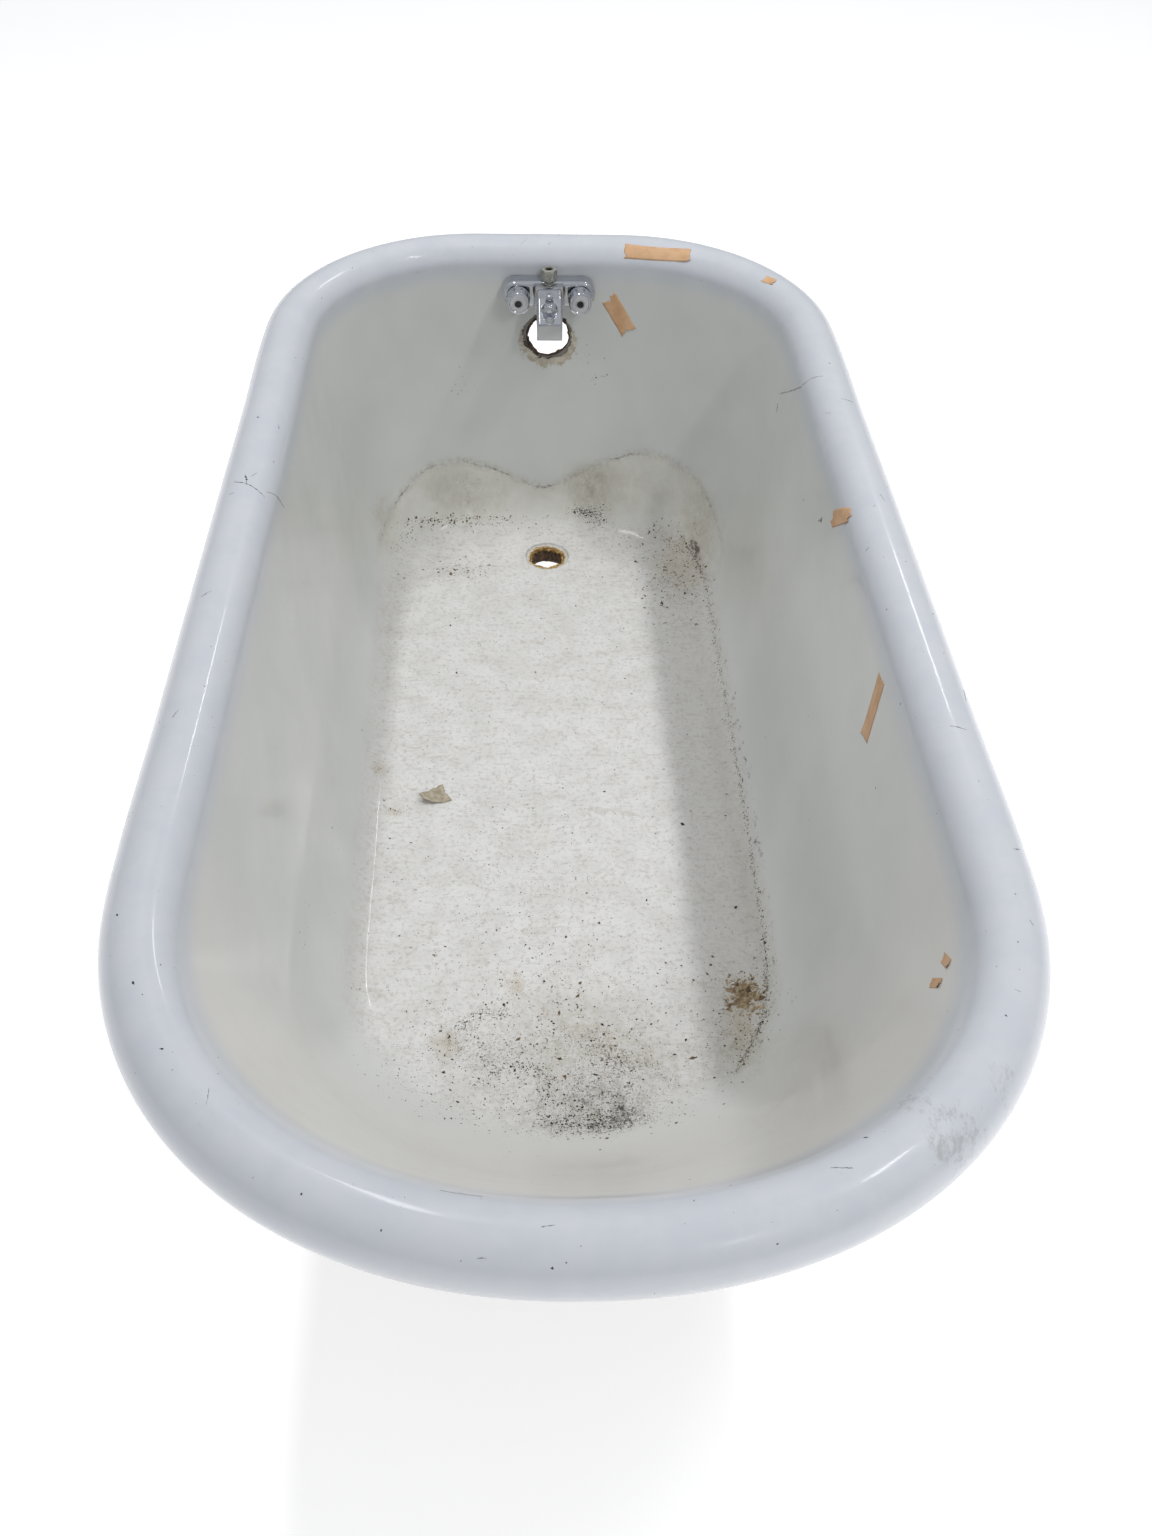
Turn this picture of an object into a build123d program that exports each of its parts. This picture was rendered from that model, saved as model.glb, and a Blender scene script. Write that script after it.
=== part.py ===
from build123d import *
import math
import os

# Roll-rim bath on four claw feet with a wall-mounted two-handle filler.
# Millimetres. +Y runs to the tap end, +X to the right of someone facing the tap, +Z up.
# The origin is on the floor, under the middle of the rim.

# ---------------------------------------------------------------- driving dimensions
TUB_LENGTH = 1524.0          # over the rim
BACK_WIDTH = 762.0           # over the rim, where it is widest, near the sloping back
TAP_WIDTH = 737.0            # over the rim, at the tap end
RIM_TOP = 600.0
ROLL_RADIUS = 32.5           # of the rolled rim, outside
LIP_ANGLE = -30.0            # how far the roll curls under, from level
RIM_CORNER = 270.0           # plan radius of the tap-end corners
RIM_BACK_CURVE = 345.0       # length of the rounded back end in plan
BACK_POWER = 2.14            # 2 would make the rounded back end an ellipse

FLOOR_Z = 160.0              # inside floor
FLOOR_TAP_Y = 676.0          # where end wall and floor would meet
FLOOR_BACK_Y = -455.0
FLOOR_CORNER = 165.0
FLOOR_TAP_WIDTH = 536.0
FLOOR_BACK_WIDTH = 524.0
FLOOR_BACK_CURVE = 262.0

ENAMEL = 1.2
IRON = 6.3

DRAIN_Y = 582.0
DRAIN_RADIUS = 26.5
DRAIN_RECESS_RADIUS = 33.0
DRAIN_RECESS_DEPTH = 3.0
DRAIN_BOSS_RADIUS = 48.0
DRAIN_BOSS_DROP = 6.0
OVERFLOW_RADIUS = 31.75
OVERFLOW_DROP = 71.0         # below the handle axes, along the end wall

FOOT_BOLT_X = 188.0
FOOT_TAP_Y = 425.0
FOOT_BACK_Y = -215.0
FOOT_TURN = 32.0             # toes turn out towards the ends of the bath, degrees
BOSS_FACE = 140.0            # underside of the foot bosses

HANDLE_Z = 541.0             # height at which the handle axes meet the end wall
SUPPLY_SPACING = 85.7        # 3 3/8 inch tap centres
GASKET = 2.0
BODY_DEPTH = 24.0
BODY_WIDTH = 130.0
BODY_HEIGHT = 36.0
SHANK_RADIUS = 10.45         # G 1/2 outside thread
SHANK_NECK = 10.2            # plain part of the shank, through the wall and its nut
SHANK_END = 42.0             # how far the shanks pass behind the wall face
THREAD_LENGTH = 23.0         # left bare behind the nut, for the supply coupling
KNOB_BACK = 33.0
KNOB_FACE = 56.0
STEM_RADIUS = 4.0
RUNNING_GAP = 0.05
RISER_BORE = 4.9             # takes a 3/8 inch riser tube, down to its seat
RISER_SEAT = 12.0
WATERWAY = 4.0
DIVERTER_OUT = 62.0          # lift rod axis, out from the wall
SPOUT_REACH = 92.0


# ---------------------------------------------------------------- small helpers
def blend(a, b, t):
    return a + (b - a) * t


def ease(t):
    t = min(max(t, 0.0), 1.0)
    return t * t * (3 - 2 * t)


def unit(v):
    size = math.sqrt(sum(c * c for c in v))
    return tuple(c / size for c in v)


def cross(a, b):
    return (a[1] * b[2] - a[2] * b[1], a[2] * b[0] - a[0] * b[2], a[0] * b[1] - a[1] * b[0])


# ---------------------------------------------------------------- the skins of the tub
END_STEPS, CORNER_STEPS, SIDE_STEPS, BACK_STEPS = 3, 7, 6, 11
FILLET_STEPS, WALL_STEPS, FLANK_STEPS, OUTER_STEPS = 7, 3, 4, 7


def stations():
    """Places round the plan, clockwise from the middle of the tap end."""
    right = [("end", i / END_STEPS) for i in range(END_STEPS)]
    right += [("corner", i / CORNER_STEPS) for i in range(CORNER_STEPS)]
    right += [("side", i / SIDE_STEPS) for i in range(SIDE_STEPS)]
    right += [("back", i / BACK_STEPS) for i in range(BACK_STEPS + 1)]
    left = reversed(right[1:-1])
    return [(1, *place) for place in right] + [(-1, *place) for place in left]


def outline(tap_width, back_width, tap_y, back_y, corner, back_curve):
    """Plan points: straight end, round corners, straight sides, rounded back."""
    half_tap, half_back = tap_width / 2, back_width / 2
    corner_y, curve_y = tap_y - corner, back_y + back_curve
    points = []
    for side, kind, t in stations():
        angle = math.radians(90 * t)
        if kind == "end":
            x, y = t * (half_tap - corner), tap_y
        elif kind == "corner":
            x = half_tap - corner + corner * math.sin(angle)
            y = corner_y + corner * math.cos(angle)
        elif kind == "side":
            x, y = blend(half_tap, half_back, t), blend(corner_y, curve_y, t)
        else:
            x = half_back * max(math.cos(angle), 0.0) ** (2 / BACK_POWER)
            y = curve_y - back_curve * math.sin(angle) ** (2 / BACK_POWER)
        points.append((side * x, y))
    return points


def plan_normals(points):
    """Outward plan normals, from each point's two neighbours."""
    count = len(points)
    result = []
    for i in range(count):
        (ax, ay), (bx, by) = points[i - 1], points[(i + 1) % count]
        result.append(unit((ay - by, bx - ax)))
    return result


def fillet_size(x, y):
    """Height up the wall and reach along the floor of the bend between them."""
    back_curve_y = FLOOR_BACK_Y + FLOOR_BACK_CURVE
    if y > FLOOR_TAP_Y - FLOOR_CORNER:
        lobe = ease(abs(x) / 150)
        turn = ease((FLOOR_TAP_Y - 60 - y) / (FLOOR_CORNER - 60))
        return blend(56, 120, lobe), blend(blend(58, 75, lobe), 50, turn)
    back = ease((back_curve_y - y) / FLOOR_BACK_CURVE)
    return blend(125, 150, back), blend(50, 90, back)


def wall_profile(rim, rim_normal, foot, foot_normal):
    """The wet face at one station, from the floor's edge, up the wall, over the rolled rim."""
    nx, ny = rim_normal
    kx, ky = rim[0] - ROLL_RADIUS * nx, rim[1] - ROLL_RADIUS * ny
    kz = RIM_TOP - ROLL_RADIUS
    inward = (kx - foot[0]) * nx + (ky - foot[1]) * ny
    drop = kz - FLOOR_Z
    lean = math.acos(ROLL_RADIUS / math.hypot(inward, drop)) - math.atan2(drop, inward)

    def roll(angle):
        reach = ROLL_RADIUS * math.cos(angle)
        return (kx + reach * nx, ky + reach * ny, kz + ROLL_RADIUS * math.sin(angle))

    top = roll(math.pi - lean)
    corner = (foot[0], foot[1], FLOOR_Z)
    up = unit([t - c for t, c in zip(top, corner)])
    height, reach = fillet_size(*foot)
    high = tuple(c + height / up[2] * u for c, u in zip(corner, up))
    low = (foot[0] - reach * foot_normal[0], foot[1] - reach * foot_normal[1], FLOOR_Z)
    points = []
    for k in range(FILLET_STEPS):
        t = k / FILLET_STEPS
        weights = ((1 - t) ** 2, 2 * t * (1 - t), t * t)
        points.append(tuple(sum(w * p[n] for w, p in zip(weights, (low, corner, high)))
                            for n in range(3)))
    for k in range(WALL_STEPS):
        points.append(tuple(blend(a, b, k / WALL_STEPS) for a, b in zip(high, top)))
    for k in range(FLANK_STEPS):
        points.append(roll(blend(math.pi - lean, math.pi / 2, k / FLANK_STEPS)))
    for k in range(OUTER_STEPS + 1):
        points.append(roll(blend(math.pi / 2, math.radians(LIP_ANGLE), k / OUTER_STEPS)))
    return points


def wet_grid():
    rim = outline(TAP_WIDTH, BACK_WIDTH, TUB_LENGTH / 2, -TUB_LENGTH / 2, RIM_CORNER,
                  RIM_BACK_CURVE)
    foot = outline(FLOOR_TAP_WIDTH, FLOOR_BACK_WIDTH, FLOOR_TAP_Y, FLOOR_BACK_Y, FLOOR_CORNER,
                   FLOOR_BACK_CURVE)
    rows = zip(rim, plan_normals(rim), foot, plan_normals(foot))
    return [wall_profile(*row) for row in rows]


def offset_grid(grid, depth):
    """The same grid, moved into the metal by depth along the surface normal."""
    count, last = len(grid), len(grid[0]) - 1
    result = []
    for i in range(count):
        moved = [(grid[i][0][0], grid[i][0][1], grid[i][0][2] - depth)]
        for j in range(1, last + 1):
            around = [b - a for a, b in zip(grid[i - 1][j], grid[(i + 1) % count][j])]
            along = [b - a for a, b in zip(grid[i][j - 1], grid[i][min(j + 1, last)])]
            normal = unit(cross(around, along))
            moved.append(tuple(p - depth * n for p, n in zip(grid[i][j], normal)))
        result.append(moved)
    return result


def section_wires(grid):
    """One closed spline for each level of the grid, all on the same parameters."""
    count = len(grid)
    middle = len(grid[0]) // 2
    parameters = [0.0]
    for i in range(count):
        after = (i + 1) % count
        step = sum(math.dist(grid[i][j], grid[after][j]) for j in (0, middle, -1))
        parameters.append(parameters[-1] + step / 3)
    wires = []
    for j in range(len(grid[0])):
        points = [Vector(*grid[i][j]) for i in range(count)]
        wires.append(Wire([Edge.make_spline(points, periodic=True, parameters=parameters)]))
    return wires


def skin_faces(wires):
    """Loft the bend, the wall and the roll one by one, so that none disturbs the next."""
    bend_end = FILLET_STEPS
    wall_end = bend_end + WALL_STEPS
    faces = []
    for first, last in ((0, bend_end), (bend_end, wall_end), (wall_end, len(wires) - 1)):
        faces += Shell.make_loft(wires[first:last + 1]).faces()
    return faces


def layer(inner_wires, outer_wires):
    """The closed solid between two skins: floor, walls, rolled rim and lip."""
    lip = Shell.make_loft([inner_wires[-1], outer_wires[-1]], ruled=True).faces()
    floors = [Face(inner_wires[0]), Face(outer_wires[0])]
    shell = Shell(skin_faces(inner_wires) + skin_faces(outer_wires) + list(lip) + floors)
    solid = Solid(shell)
    if solid.volume < 0:
        solid = Solid(Shell([-face for face in shell.faces()]))
    return solid


def end_wall_frame(grid):
    """Where the tap fits: X along the wall, Y into it, Z up it, on the enamel's face."""
    low = grid[0][FILLET_STEPS]
    high = grid[0][FILLET_STEPS + WALL_STEPS]
    lean = math.atan2(high[1] - low[1], high[2] - low[2])
    y = low[1] + (HANDLE_Z - low[2]) * math.tan(lean)
    return Location((0, y, HANDLE_Z), (-math.degrees(lean), 0, 0))


# ---------------------------------------------------------------- shared shapes
def out_disc(radius, start, end, x=0.0, z=0.0):
    """Cylinder along the wall frame's Y, from start to end out of the wall."""
    middle = -(start + end) / 2
    return Pos(x, middle, z) * Rot(90, 0, 0) * Cylinder(radius, abs(end - start))


def out_ring(radius, hole, start, end, x=0.0, z=0.0):
    return out_disc(radius, start, end, x, z) - out_disc(hole, start - 1, end + 1, x, z)


def out_hexagon(flats, start, end, x=0.0, z=0.0):
    sketch = RegularPolygon(flats / 2, 6, major_radius=False)
    return Pos(x, -start, z) * Rot(90, 0, 0) * extrude(sketch, end - start)


def standing_hexagon(flats, low, high, x=0.0, y=0.0):
    sketch = RegularPolygon(flats / 2, 6, major_radius=False)
    return Pos(x, y, low) * extrude(sketch, high - low)


def post(radius, low, high, x=0.0, y=0.0):
    return Pos(x, y, (low + high) / 2) * Cylinder(radius, high - low)


# ---------------------------------------------------------------- tub
def foot_places():
    """Name, bolt position and turn of each foot."""
    places = {}
    for end, y, turn in (("tap", FOOT_TAP_Y, FOOT_TURN), ("back", FOOT_BACK_Y, -FOOT_TURN)):
        places[f"foot_{end}_right"] = (FOOT_BOLT_X, y, turn)
        places[f"foot_{end}_left"] = (-FOOT_BOLT_X, y, 180 - turn)
    return places


def wall_holes():
    """The overflow and the two supply holes, in the wall frame."""
    holes = [out_disc(OVERFLOW_RADIUS, 20, -30, z=-OVERFLOW_DROP)]
    for side in (-1, 1):
        holes.append(out_disc(SHANK_RADIUS + 1.3, 20, -30, x=side * SUPPLY_SPACING / 2))
    return holes


def tub_casting(solid, wall):
    floor_under = FLOOR_Z - ENAMEL - IRON
    iron_top = FLOOR_Z - ENAMEL
    solid += post(DRAIN_BOSS_RADIUS, floor_under - DRAIN_BOSS_DROP, floor_under + 3, y=DRAIN_Y)
    for x, y, turn in foot_places().values():
        block = Box(56, 56, floor_under + 3 - BOSS_FACE)
        block = fillet(block.edges().filter_by(Axis.Z), 10)
        solid += Pos(x, y, (floor_under + 3 + BOSS_FACE) / 2) * Rot(0, 0, turn) * block
        solid -= post(5.0, BOSS_FACE - 1, BOSS_FACE + 12, x, y)
    recess = DRAIN_RECESS_RADIUS + ENAMEL
    solid -= post(recess, iron_top - DRAIN_RECESS_DEPTH, iron_top + 1, y=DRAIN_Y)
    solid -= post(DRAIN_RADIUS, floor_under - 20, FLOOR_Z + 5, y=DRAIN_Y)
    for hole in wall_holes():
        solid -= wall * hole
    return solid


def enamel_lining(solid, wall):
    under = FLOOR_Z - ENAMEL - DRAIN_RECESS_DEPTH
    solid += post(DRAIN_RECESS_RADIUS + ENAMEL, under, FLOOR_Z - ENAMEL / 2, y=DRAIN_Y)
    solid -= post(DRAIN_RECESS_RADIUS, under + ENAMEL, FLOOR_Z + 5, y=DRAIN_Y)
    solid -= post(DRAIN_RADIUS, under - 5, FLOOR_Z + 5, y=DRAIN_Y)
    for hole in wall_holes():
        solid -= wall * hole
    return solid


# ---------------------------------------------------------------- claw feet
FOOT_TAB = 12.0
BALL_RADIUS = 31.0
BALL_OUT = 78.0
BALL_HEIGHT = 25.0
LEG_TOP = 150.0


def foot_leg():
    """The curved leg: sections (out, height, tilt, width, depth), lofted."""
    shape = (
        (18, 128, 90, 52, 20),
        (46, 123, 72, 62, 36),
        (70, 107, 42, 58, 44),
        (82, 84, 14, 46, 38),
        (81, 64, 0, 38, 34),
        (78, 44, 0, 46, 44),
    )
    sections = []
    for out, height, tilt, width, depth in shape:
        place = Pos(out, 0, height) * Rot(0, tilt, 0)
        sections.append(place * Ellipse(depth / 2, width / 2))
    return loft(sections)


def foot_toe(heading):
    """One toe, bent over the ball, with a knuckle and a pointed claw."""
    sizes = ((72, 11.0), (47, 10.5), (24, 12.0), (4, 9.5), (-14, 6.5), (-29, 2.5))
    sections = []
    for climb, radius in sizes:
        angle = math.radians(climb)
        reach = BALL_RADIUS + 1.5
        place = Pos(reach * math.cos(angle), 0, reach * math.sin(angle)) * Rot(0, -climb, 0)
        sections.append(place * Circle(radius))
    toe = loft(sections)
    return Pos(BALL_OUT, 0, BALL_HEIGHT) * Rot(0, 0, heading) * toe


def claw_foot():
    """Along +X from its bolt, standing on z = 0."""
    tab = Box(60, 50, FOOT_TAB)
    tab = fillet(tab.edges().filter_by(Axis.Z), 12)
    foot = Pos(4, 0, BOSS_FACE - FOOT_TAB / 2) * tab
    foot += foot_leg()
    foot += Pos(BALL_OUT, 0, BALL_HEIGHT) * Sphere(BALL_RADIUS)
    for heading in (0, 58, -58, 180):
        foot += foot_toe(heading)
    foot -= Pos(BALL_OUT, 0, -50) * Box(200, 200, 100)
    foot -= Pos(0, 0, BOSS_FACE + 50) * Box(68, 200, 100)
    foot -= Pos(0, 0, LEG_TOP + 50) * Box(400, 200, 100)
    foot -= post(5.5, BOSS_FACE - 40, BOSS_FACE + 10)
    foot -= post(13.0, BOSS_FACE - 60, BOSS_FACE - FOOT_TAB)
    return foot


def foot_fasteners():
    """A hexagon bolt and a washer under each foot's tab."""
    under_tab = BOSS_FACE - FOOT_TAB
    bolts, washers = [], []
    for x, y, _ in foot_places().values():
        washers.append(post(11.0, under_tab - 2, under_tab, x, y)
                       - post(5.5, under_tab - 5, under_tab + 5, x, y))
        bolts.append(post(5.0, under_tab - 5, BOSS_FACE + 11, x, y)
                     + standing_hexagon(17.0, under_tab - 9, under_tab - 2, x, y))
    return bolts, washers


# ---------------------------------------------------------------- tap body and spout
def faucet_body():
    back = GASKET
    front = GASKET + BODY_DEPTH
    body = extrude(Plane.XZ.offset(back) * SlotOverall(BODY_WIDTH, BODY_HEIGHT), BODY_DEPTH)
    body = fillet(body.faces().sort_by(Axis.Y)[0].edges(), 6.0)
    block_end = KNOB_BACK + 5
    block = extrude(Plane.XZ.offset(back + 4) * Rectangle(38, BODY_HEIGHT - 3), block_end - back - 4)
    body += block
    corners = [e for e in body.edges().filter_by(Axis.Z)
               if abs(e.center().Y + front) < 0.1 and abs(abs(e.center().X) - 19) < 0.1]
    body = fillet(corners, 4.0)
    for side in (-1, 1):
        x = side * SUPPLY_SPACING / 2
        body -= out_disc(8.5, 11, front + 2, x)
        body -= out_disc(5.0, 7, 12, x)
        body -= out_disc(SHANK_NECK, 0, 8, x)
    body -= Pos(0, -15, 0) * Rot(0, 90, 0) * Cylinder(4.5, SUPPLY_SPACING)
    body -= out_disc(7.0, 15, 50)
    body -= post(WATERWAY, 0, 20, y=-15)
    body -= post(8.2, 10, 20, y=-15)
    return body


def spout():
    start = 38.0
    side_line = Polyline((-start, 14), (-58, 9), (-76, -2), (-SPOUT_REACH + 1, -12),
                         (-SPOUT_REACH, -15), (-SPOUT_REACH, -35), (-SPOUT_REACH + 1, -36),
                         (-50, -36), (-46, -22), (-start, -16), close=True)
    profile = make_face(Plane.YZ * side_line)
    shape = extrude(profile, 17.5, both=True)
    long_edges = [e for e in shape.edges() if abs(abs(e.center().X) - 17.5) < 0.1
                  and e.center().Z > -20 and abs(e.tangent_at(0.5).Y) > 0.3]
    shape = fillet(long_edges, 4.0)
    ridge = Pos(0, -66, -4.5) * Rot(-32, 0, 0) * scale(Sphere(1), by=(12.5, 27, 11))
    tip = Pos(0, -84, -12) * Rot(-50, 0, 0) * scale(Sphere(1), by=(7, 11, 7))
    shape += ridge
    shape += tip
    shape &= Pos(0, -(start + SPOUT_REACH) / 2, 0) * Box(80, SPOUT_REACH - start, 100)
    shape -= out_disc(6.0, start - 1, 54, z=-4)
    gate_chamber = Pos(0, -61.5, -18.25) * Box(22, 11, 39.5)
    outlet = Pos(0, -71, -24) * Box(22, 22, 28)
    shape -= gate_chamber + outlet
    shape -= out_disc(5.5, 52, 58, z=-5)
    shape -= post(2.05, 0, 30, y=-DIVERTER_OUT)
    return shape


# ---------------------------------------------------------------- diverter
def diverter_pieces():
    y = -DIVERTER_OUT
    gate = Pos(0, -58.8, -18) * Box(18, 2.4, 13) + Pos(0, -62.4, -18) * Box(8, 6.4, 9)
    gate -= post(2.0, -21, 0, y=y)
    seal = Pos(0, -57.0, -18) * Box(17, 1.2, 12)
    rod = post(2.0, -21, 12, y=y)
    profile = Polyline((0, 9.5), (3.2, 9.5), (3.2, 11), (5.4, 12.2), (6.0, 14),
                       (5.4, 16), (3.6, 17.2), (0, 17.6), close=True)
    knob = revolve(make_face(Plane.XZ * profile), Axis.Z)
    knob = Pos(0, y, 0) * knob - post(2.0, 5, 12, y=y)
    return {"diverter_gate": gate, "diverter_seal": seal, "diverter_rod": rod,
            "diverter_knob": knob}


# ---------------------------------------------------------------- valves and handles
def knob_shape(x):
    """Round handle with eight shallow flutes and a sunk screw seat, turned along its axis."""
    length = KNOB_FACE - KNOB_BACK
    profile = Polyline((0, 0), (14.5, 0), (16.4, 1.6), (17.0, 4.5), (17.0, 8.0),
                       (15.6, length - 2), (14.6, length - 0.5), (13.4, length),
                       (12.2, length), (11.4, length - 0.8), (6.6, length - 0.8),
                       (5.8, length - 0.2), (5.0, length - 0.2), (5.0, length - 2.5),
                       (0, length - 2.5), close=True)
    knob = revolve(make_face(Plane.XZ * profile), Axis.Z)
    for k in range(8):
        knob -= Rot(0, 0, 45 * k + 22.5) * Pos(20.6, 0, length) * Cylinder(5.2, 2 * length - 14)
    knob -= post(12.6, -1, 1.5)
    knob -= post(STEM_RADIUS, 0, 17.5)
    knob -= post(2.1, 10, 30)
    return Pos(x, -KNOB_BACK, 0) * Rot(90, 0, 0) * knob


def valve_pieces(name, x):
    ring = out_ring(8.35, 4.2, 11, 13, x)
    fixed = out_disc(8.35, 13, 15.4, x)
    rotor = out_disc(7.6, 15.7, 18.3, x)
    for side in (-1, 1):
        fixed -= out_disc(1.8, 12, 17, x + 4 * side)
        rotor -= out_disc(1.8, 15, 19, x, 4 * side)
    bonnet = out_disc(8.5, 19, 27, x) + out_hexagon(19.0, 26, 30.5, x)
    bonnet -= out_disc(STEM_RADIUS + RUNNING_GAP, 18, 32, x)
    groove = out_disc(STEM_RADIUS + 1, 22, 24.4, x) - out_disc(STEM_RADIUS - 1, 21, 25, x)
    stem = out_disc(STEM_RADIUS, 18.3, 50.5, x)
    stem -= groove
    stem -= out_disc(2.1, 42, 52, x)
    oring = out_ring(STEM_RADIUS + RUNNING_GAP / 2, STEM_RADIUS - 1, 22.3, 24.1, x)
    screw = out_disc(2.1, 43.5, 55, x) + out_disc(4.6, KNOB_FACE - 2.5, KNOB_FACE - 0.3, x)
    screw -= Pos(x, -KNOB_FACE, 0) * Box(1.1, 2.4, 6.4)
    screw -= Pos(x, -KNOB_FACE, 0) * Box(6.4, 2.4, 1.1)
    return {
        f"{name}_seat_seal": ring,
        f"{name}_fixed_disc": fixed,
        f"{name}_rotor_disc": rotor,
        f"{name}_bonnet": bonnet,
        f"{name}_stem": stem,
        f"{name}_stem_oring": oring,
        f"{name}_knob_screw": screw,
        f"{name}_knob": knob_shape(x),
    }


# ---------------------------------------------------------------- supplies and riser
def supply_pieces():
    wall_back = -(ENAMEL + IRON)
    gaskets, washers, nuts = [], [], []
    pieces = {}
    for name, side in (("hot", -1), ("cold", 1)):
        x = side * SUPPLY_SPACING / 2
        thread_start = THREAD_LENGTH - SHANK_END
        shank = out_disc(SHANK_RADIUS, -SHANK_END, thread_start, x)
        shank += out_disc(SHANK_NECK, thread_start, 8, x)
        pieces[f"{name}_shank"] = shank - out_disc(7.0, -SHANK_END - 1, 9, x)
        gaskets.append(out_ring(17.0, SHANK_NECK + 0.1, 0, GASKET, x))
        washers.append(out_ring(18.0, SHANK_NECK + 0.5, wall_back - 1.6, wall_back, x))
        nuts.append(out_hexagon(32.0, wall_back - 9.6, wall_back - 1.6, x)
                    - out_disc(SHANK_NECK, -40, 40, x))
    pieces["shank_gaskets"] = gaskets
    pieces["shank_washers"] = washers
    pieces["shank_locknuts"] = nuts
    return pieces


def riser_pieces():
    y = -15
    connector = post(8.2, 10, 18, y=y) + post(9.4, 18, 20, y=y) + post(7.0, 20, 29, y=y)
    connector -= post(WATERWAY, 5, 35, y=y)
    connector -= post(RISER_BORE, RISER_SEAT, 35, y=y)
    nut = standing_hexagon(20.0, 20.4, 33.5, y=y)
    nut &= Pos(0, y, 20.4) * Cone(24, 9.2, 13.1, align=(Align.CENTER, Align.CENTER, Align.MIN))
    nut -= post(7.0, 20, 30.5, y=y)
    nut -= post(5.9, 20, 40, y=y)
    ferrule = post(6.9, 29, 30.5, y=y) + post(5.8, 30.5, 32.5, y=y)
    ferrule -= post(RISER_BORE, 20, 40, y=y)
    return {"riser_connector": connector, "riser_nut": nut, "riser_ferrule": ferrule}


# ---------------------------------------------------------------- assembly
def write(name, shape):
    """A list is a group of separate solids; anything else has to be one solid."""
    if isinstance(shape, list):
        solids = [solid for piece in shape for solid in piece.solids()]
        export_step(Compound(solids), f"parts/{name}.step")
        return
    solids = shape.solids()
    assert len(solids) == 1, (name, len(solids))
    export_step(solids[0], f"parts/{name}.step")


def main():
    os.makedirs("parts", exist_ok=True)
    wet = wet_grid()
    wall = end_wall_frame(wet)
    wires = [section_wires(grid) for grid in
             (wet, offset_grid(wet, ENAMEL), offset_grid(wet, ENAMEL + IRON))]
    write("enamel_lining", enamel_lining(layer(wires[0], wires[1]), wall))
    write("tub_casting", tub_casting(layer(wires[1], wires[2]), wall))

    foot = claw_foot()
    for name, (x, y, turn) in foot_places().items():
        write(name, Pos(x, y, 0) * Rot(0, 0, turn) * foot)
    bolts, washers = foot_fasteners()
    write("foot_bolts", bolts)
    write("foot_washers", washers)

    half = SUPPLY_SPACING / 2
    pieces = {"faucet_body": faucet_body(), "spout": spout()}
    pieces.update(diverter_pieces())
    pieces.update(valve_pieces("hot", -half))
    pieces.update(valve_pieces("cold", half))
    pieces.update(supply_pieces())
    pieces.update(riser_pieces())
    for name, shape in pieces.items():
        placed = [wall * s for s in shape] if isinstance(shape, list) else wall * shape
        write(name, placed)


main()
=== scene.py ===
import math

import bpy
import numpy as np
from mathutils import Matrix, Vector
from mathutils.bvhtree import BVHTree


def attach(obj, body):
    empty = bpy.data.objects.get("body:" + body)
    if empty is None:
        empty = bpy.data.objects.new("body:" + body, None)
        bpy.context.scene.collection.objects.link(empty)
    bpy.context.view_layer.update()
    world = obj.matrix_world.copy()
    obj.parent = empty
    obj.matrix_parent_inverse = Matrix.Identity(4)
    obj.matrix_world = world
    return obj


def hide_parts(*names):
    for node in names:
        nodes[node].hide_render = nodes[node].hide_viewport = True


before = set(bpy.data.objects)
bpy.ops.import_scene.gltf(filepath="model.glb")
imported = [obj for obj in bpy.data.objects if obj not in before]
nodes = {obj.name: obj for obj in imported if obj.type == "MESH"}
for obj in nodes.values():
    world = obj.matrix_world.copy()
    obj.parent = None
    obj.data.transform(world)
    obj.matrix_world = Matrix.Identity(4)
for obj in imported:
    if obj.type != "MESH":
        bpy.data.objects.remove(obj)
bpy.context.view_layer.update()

# ---- the tub's own dimensions, metres
TUB_LENGTH, BACK_WIDTH, TAP_WIDTH = 1.524, 0.762, 0.737
RIM_TOP, ROLL, LIP_ANGLE = 0.6, 0.0325, -30.0
RIM_CORNER, RIM_BACK_CURVE, BACK_POWER = 0.27, 0.345, 2.14
FLOOR_Z, FLOOR_TAP_Y, FLOOR_BACK_Y = 0.16, 0.676, -0.455
FLOOR_CORNER, FLOOR_BACK_CURVE = 0.165, 0.262
FLOOR_TAP_WIDTH, FLOOR_BACK_WIDTH = 0.536, 0.524
ENAMEL, LINING_REACH = 0.0012, 0.0022
DRAIN = Vector((0.0, 0.582, FLOOR_Z))
DRAIN_RADIUS, DRAIN_RECESS = 0.0265, 0.033
HANDLE_Z, HANDLE_SPACING = 0.541, 0.0857
OVERFLOW_DROP, OVERFLOW_RADIUS = 0.071, 0.03175

# mesh steps round the plan (end, corner, side, back) and up the section
PLAN_STEPS = (20, 46, 84, 74)
FLOOR_STEPS, BEND_STEPS, WALL_STEPS, FLANK_STEPS, OUTER_STEPS = 44, 26, 36, 14, 34
# the first row of the wall and of the roll
WALL_ROW = FLOOR_STEPS - 1 + BEND_STEPS
ROLL_ROW = WALL_ROW + WALL_STEPS


# ---- small helpers
def ease(t):
    t = np.clip(t, 0.0, 1.0)
    return t * t * (3 - 2 * t)


def mix(a, b, t):
    return a + (b - a) * t


def unit_rows(rows):
    return rows / np.linalg.norm(rows, axis=-1, keepdims=True)


def new_mesh(name, points, faces):
    mesh = bpy.data.meshes.new(name)
    mesh.from_pydata([tuple(p) for p in points], [], [tuple(f) for f in faces])
    return mesh


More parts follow.
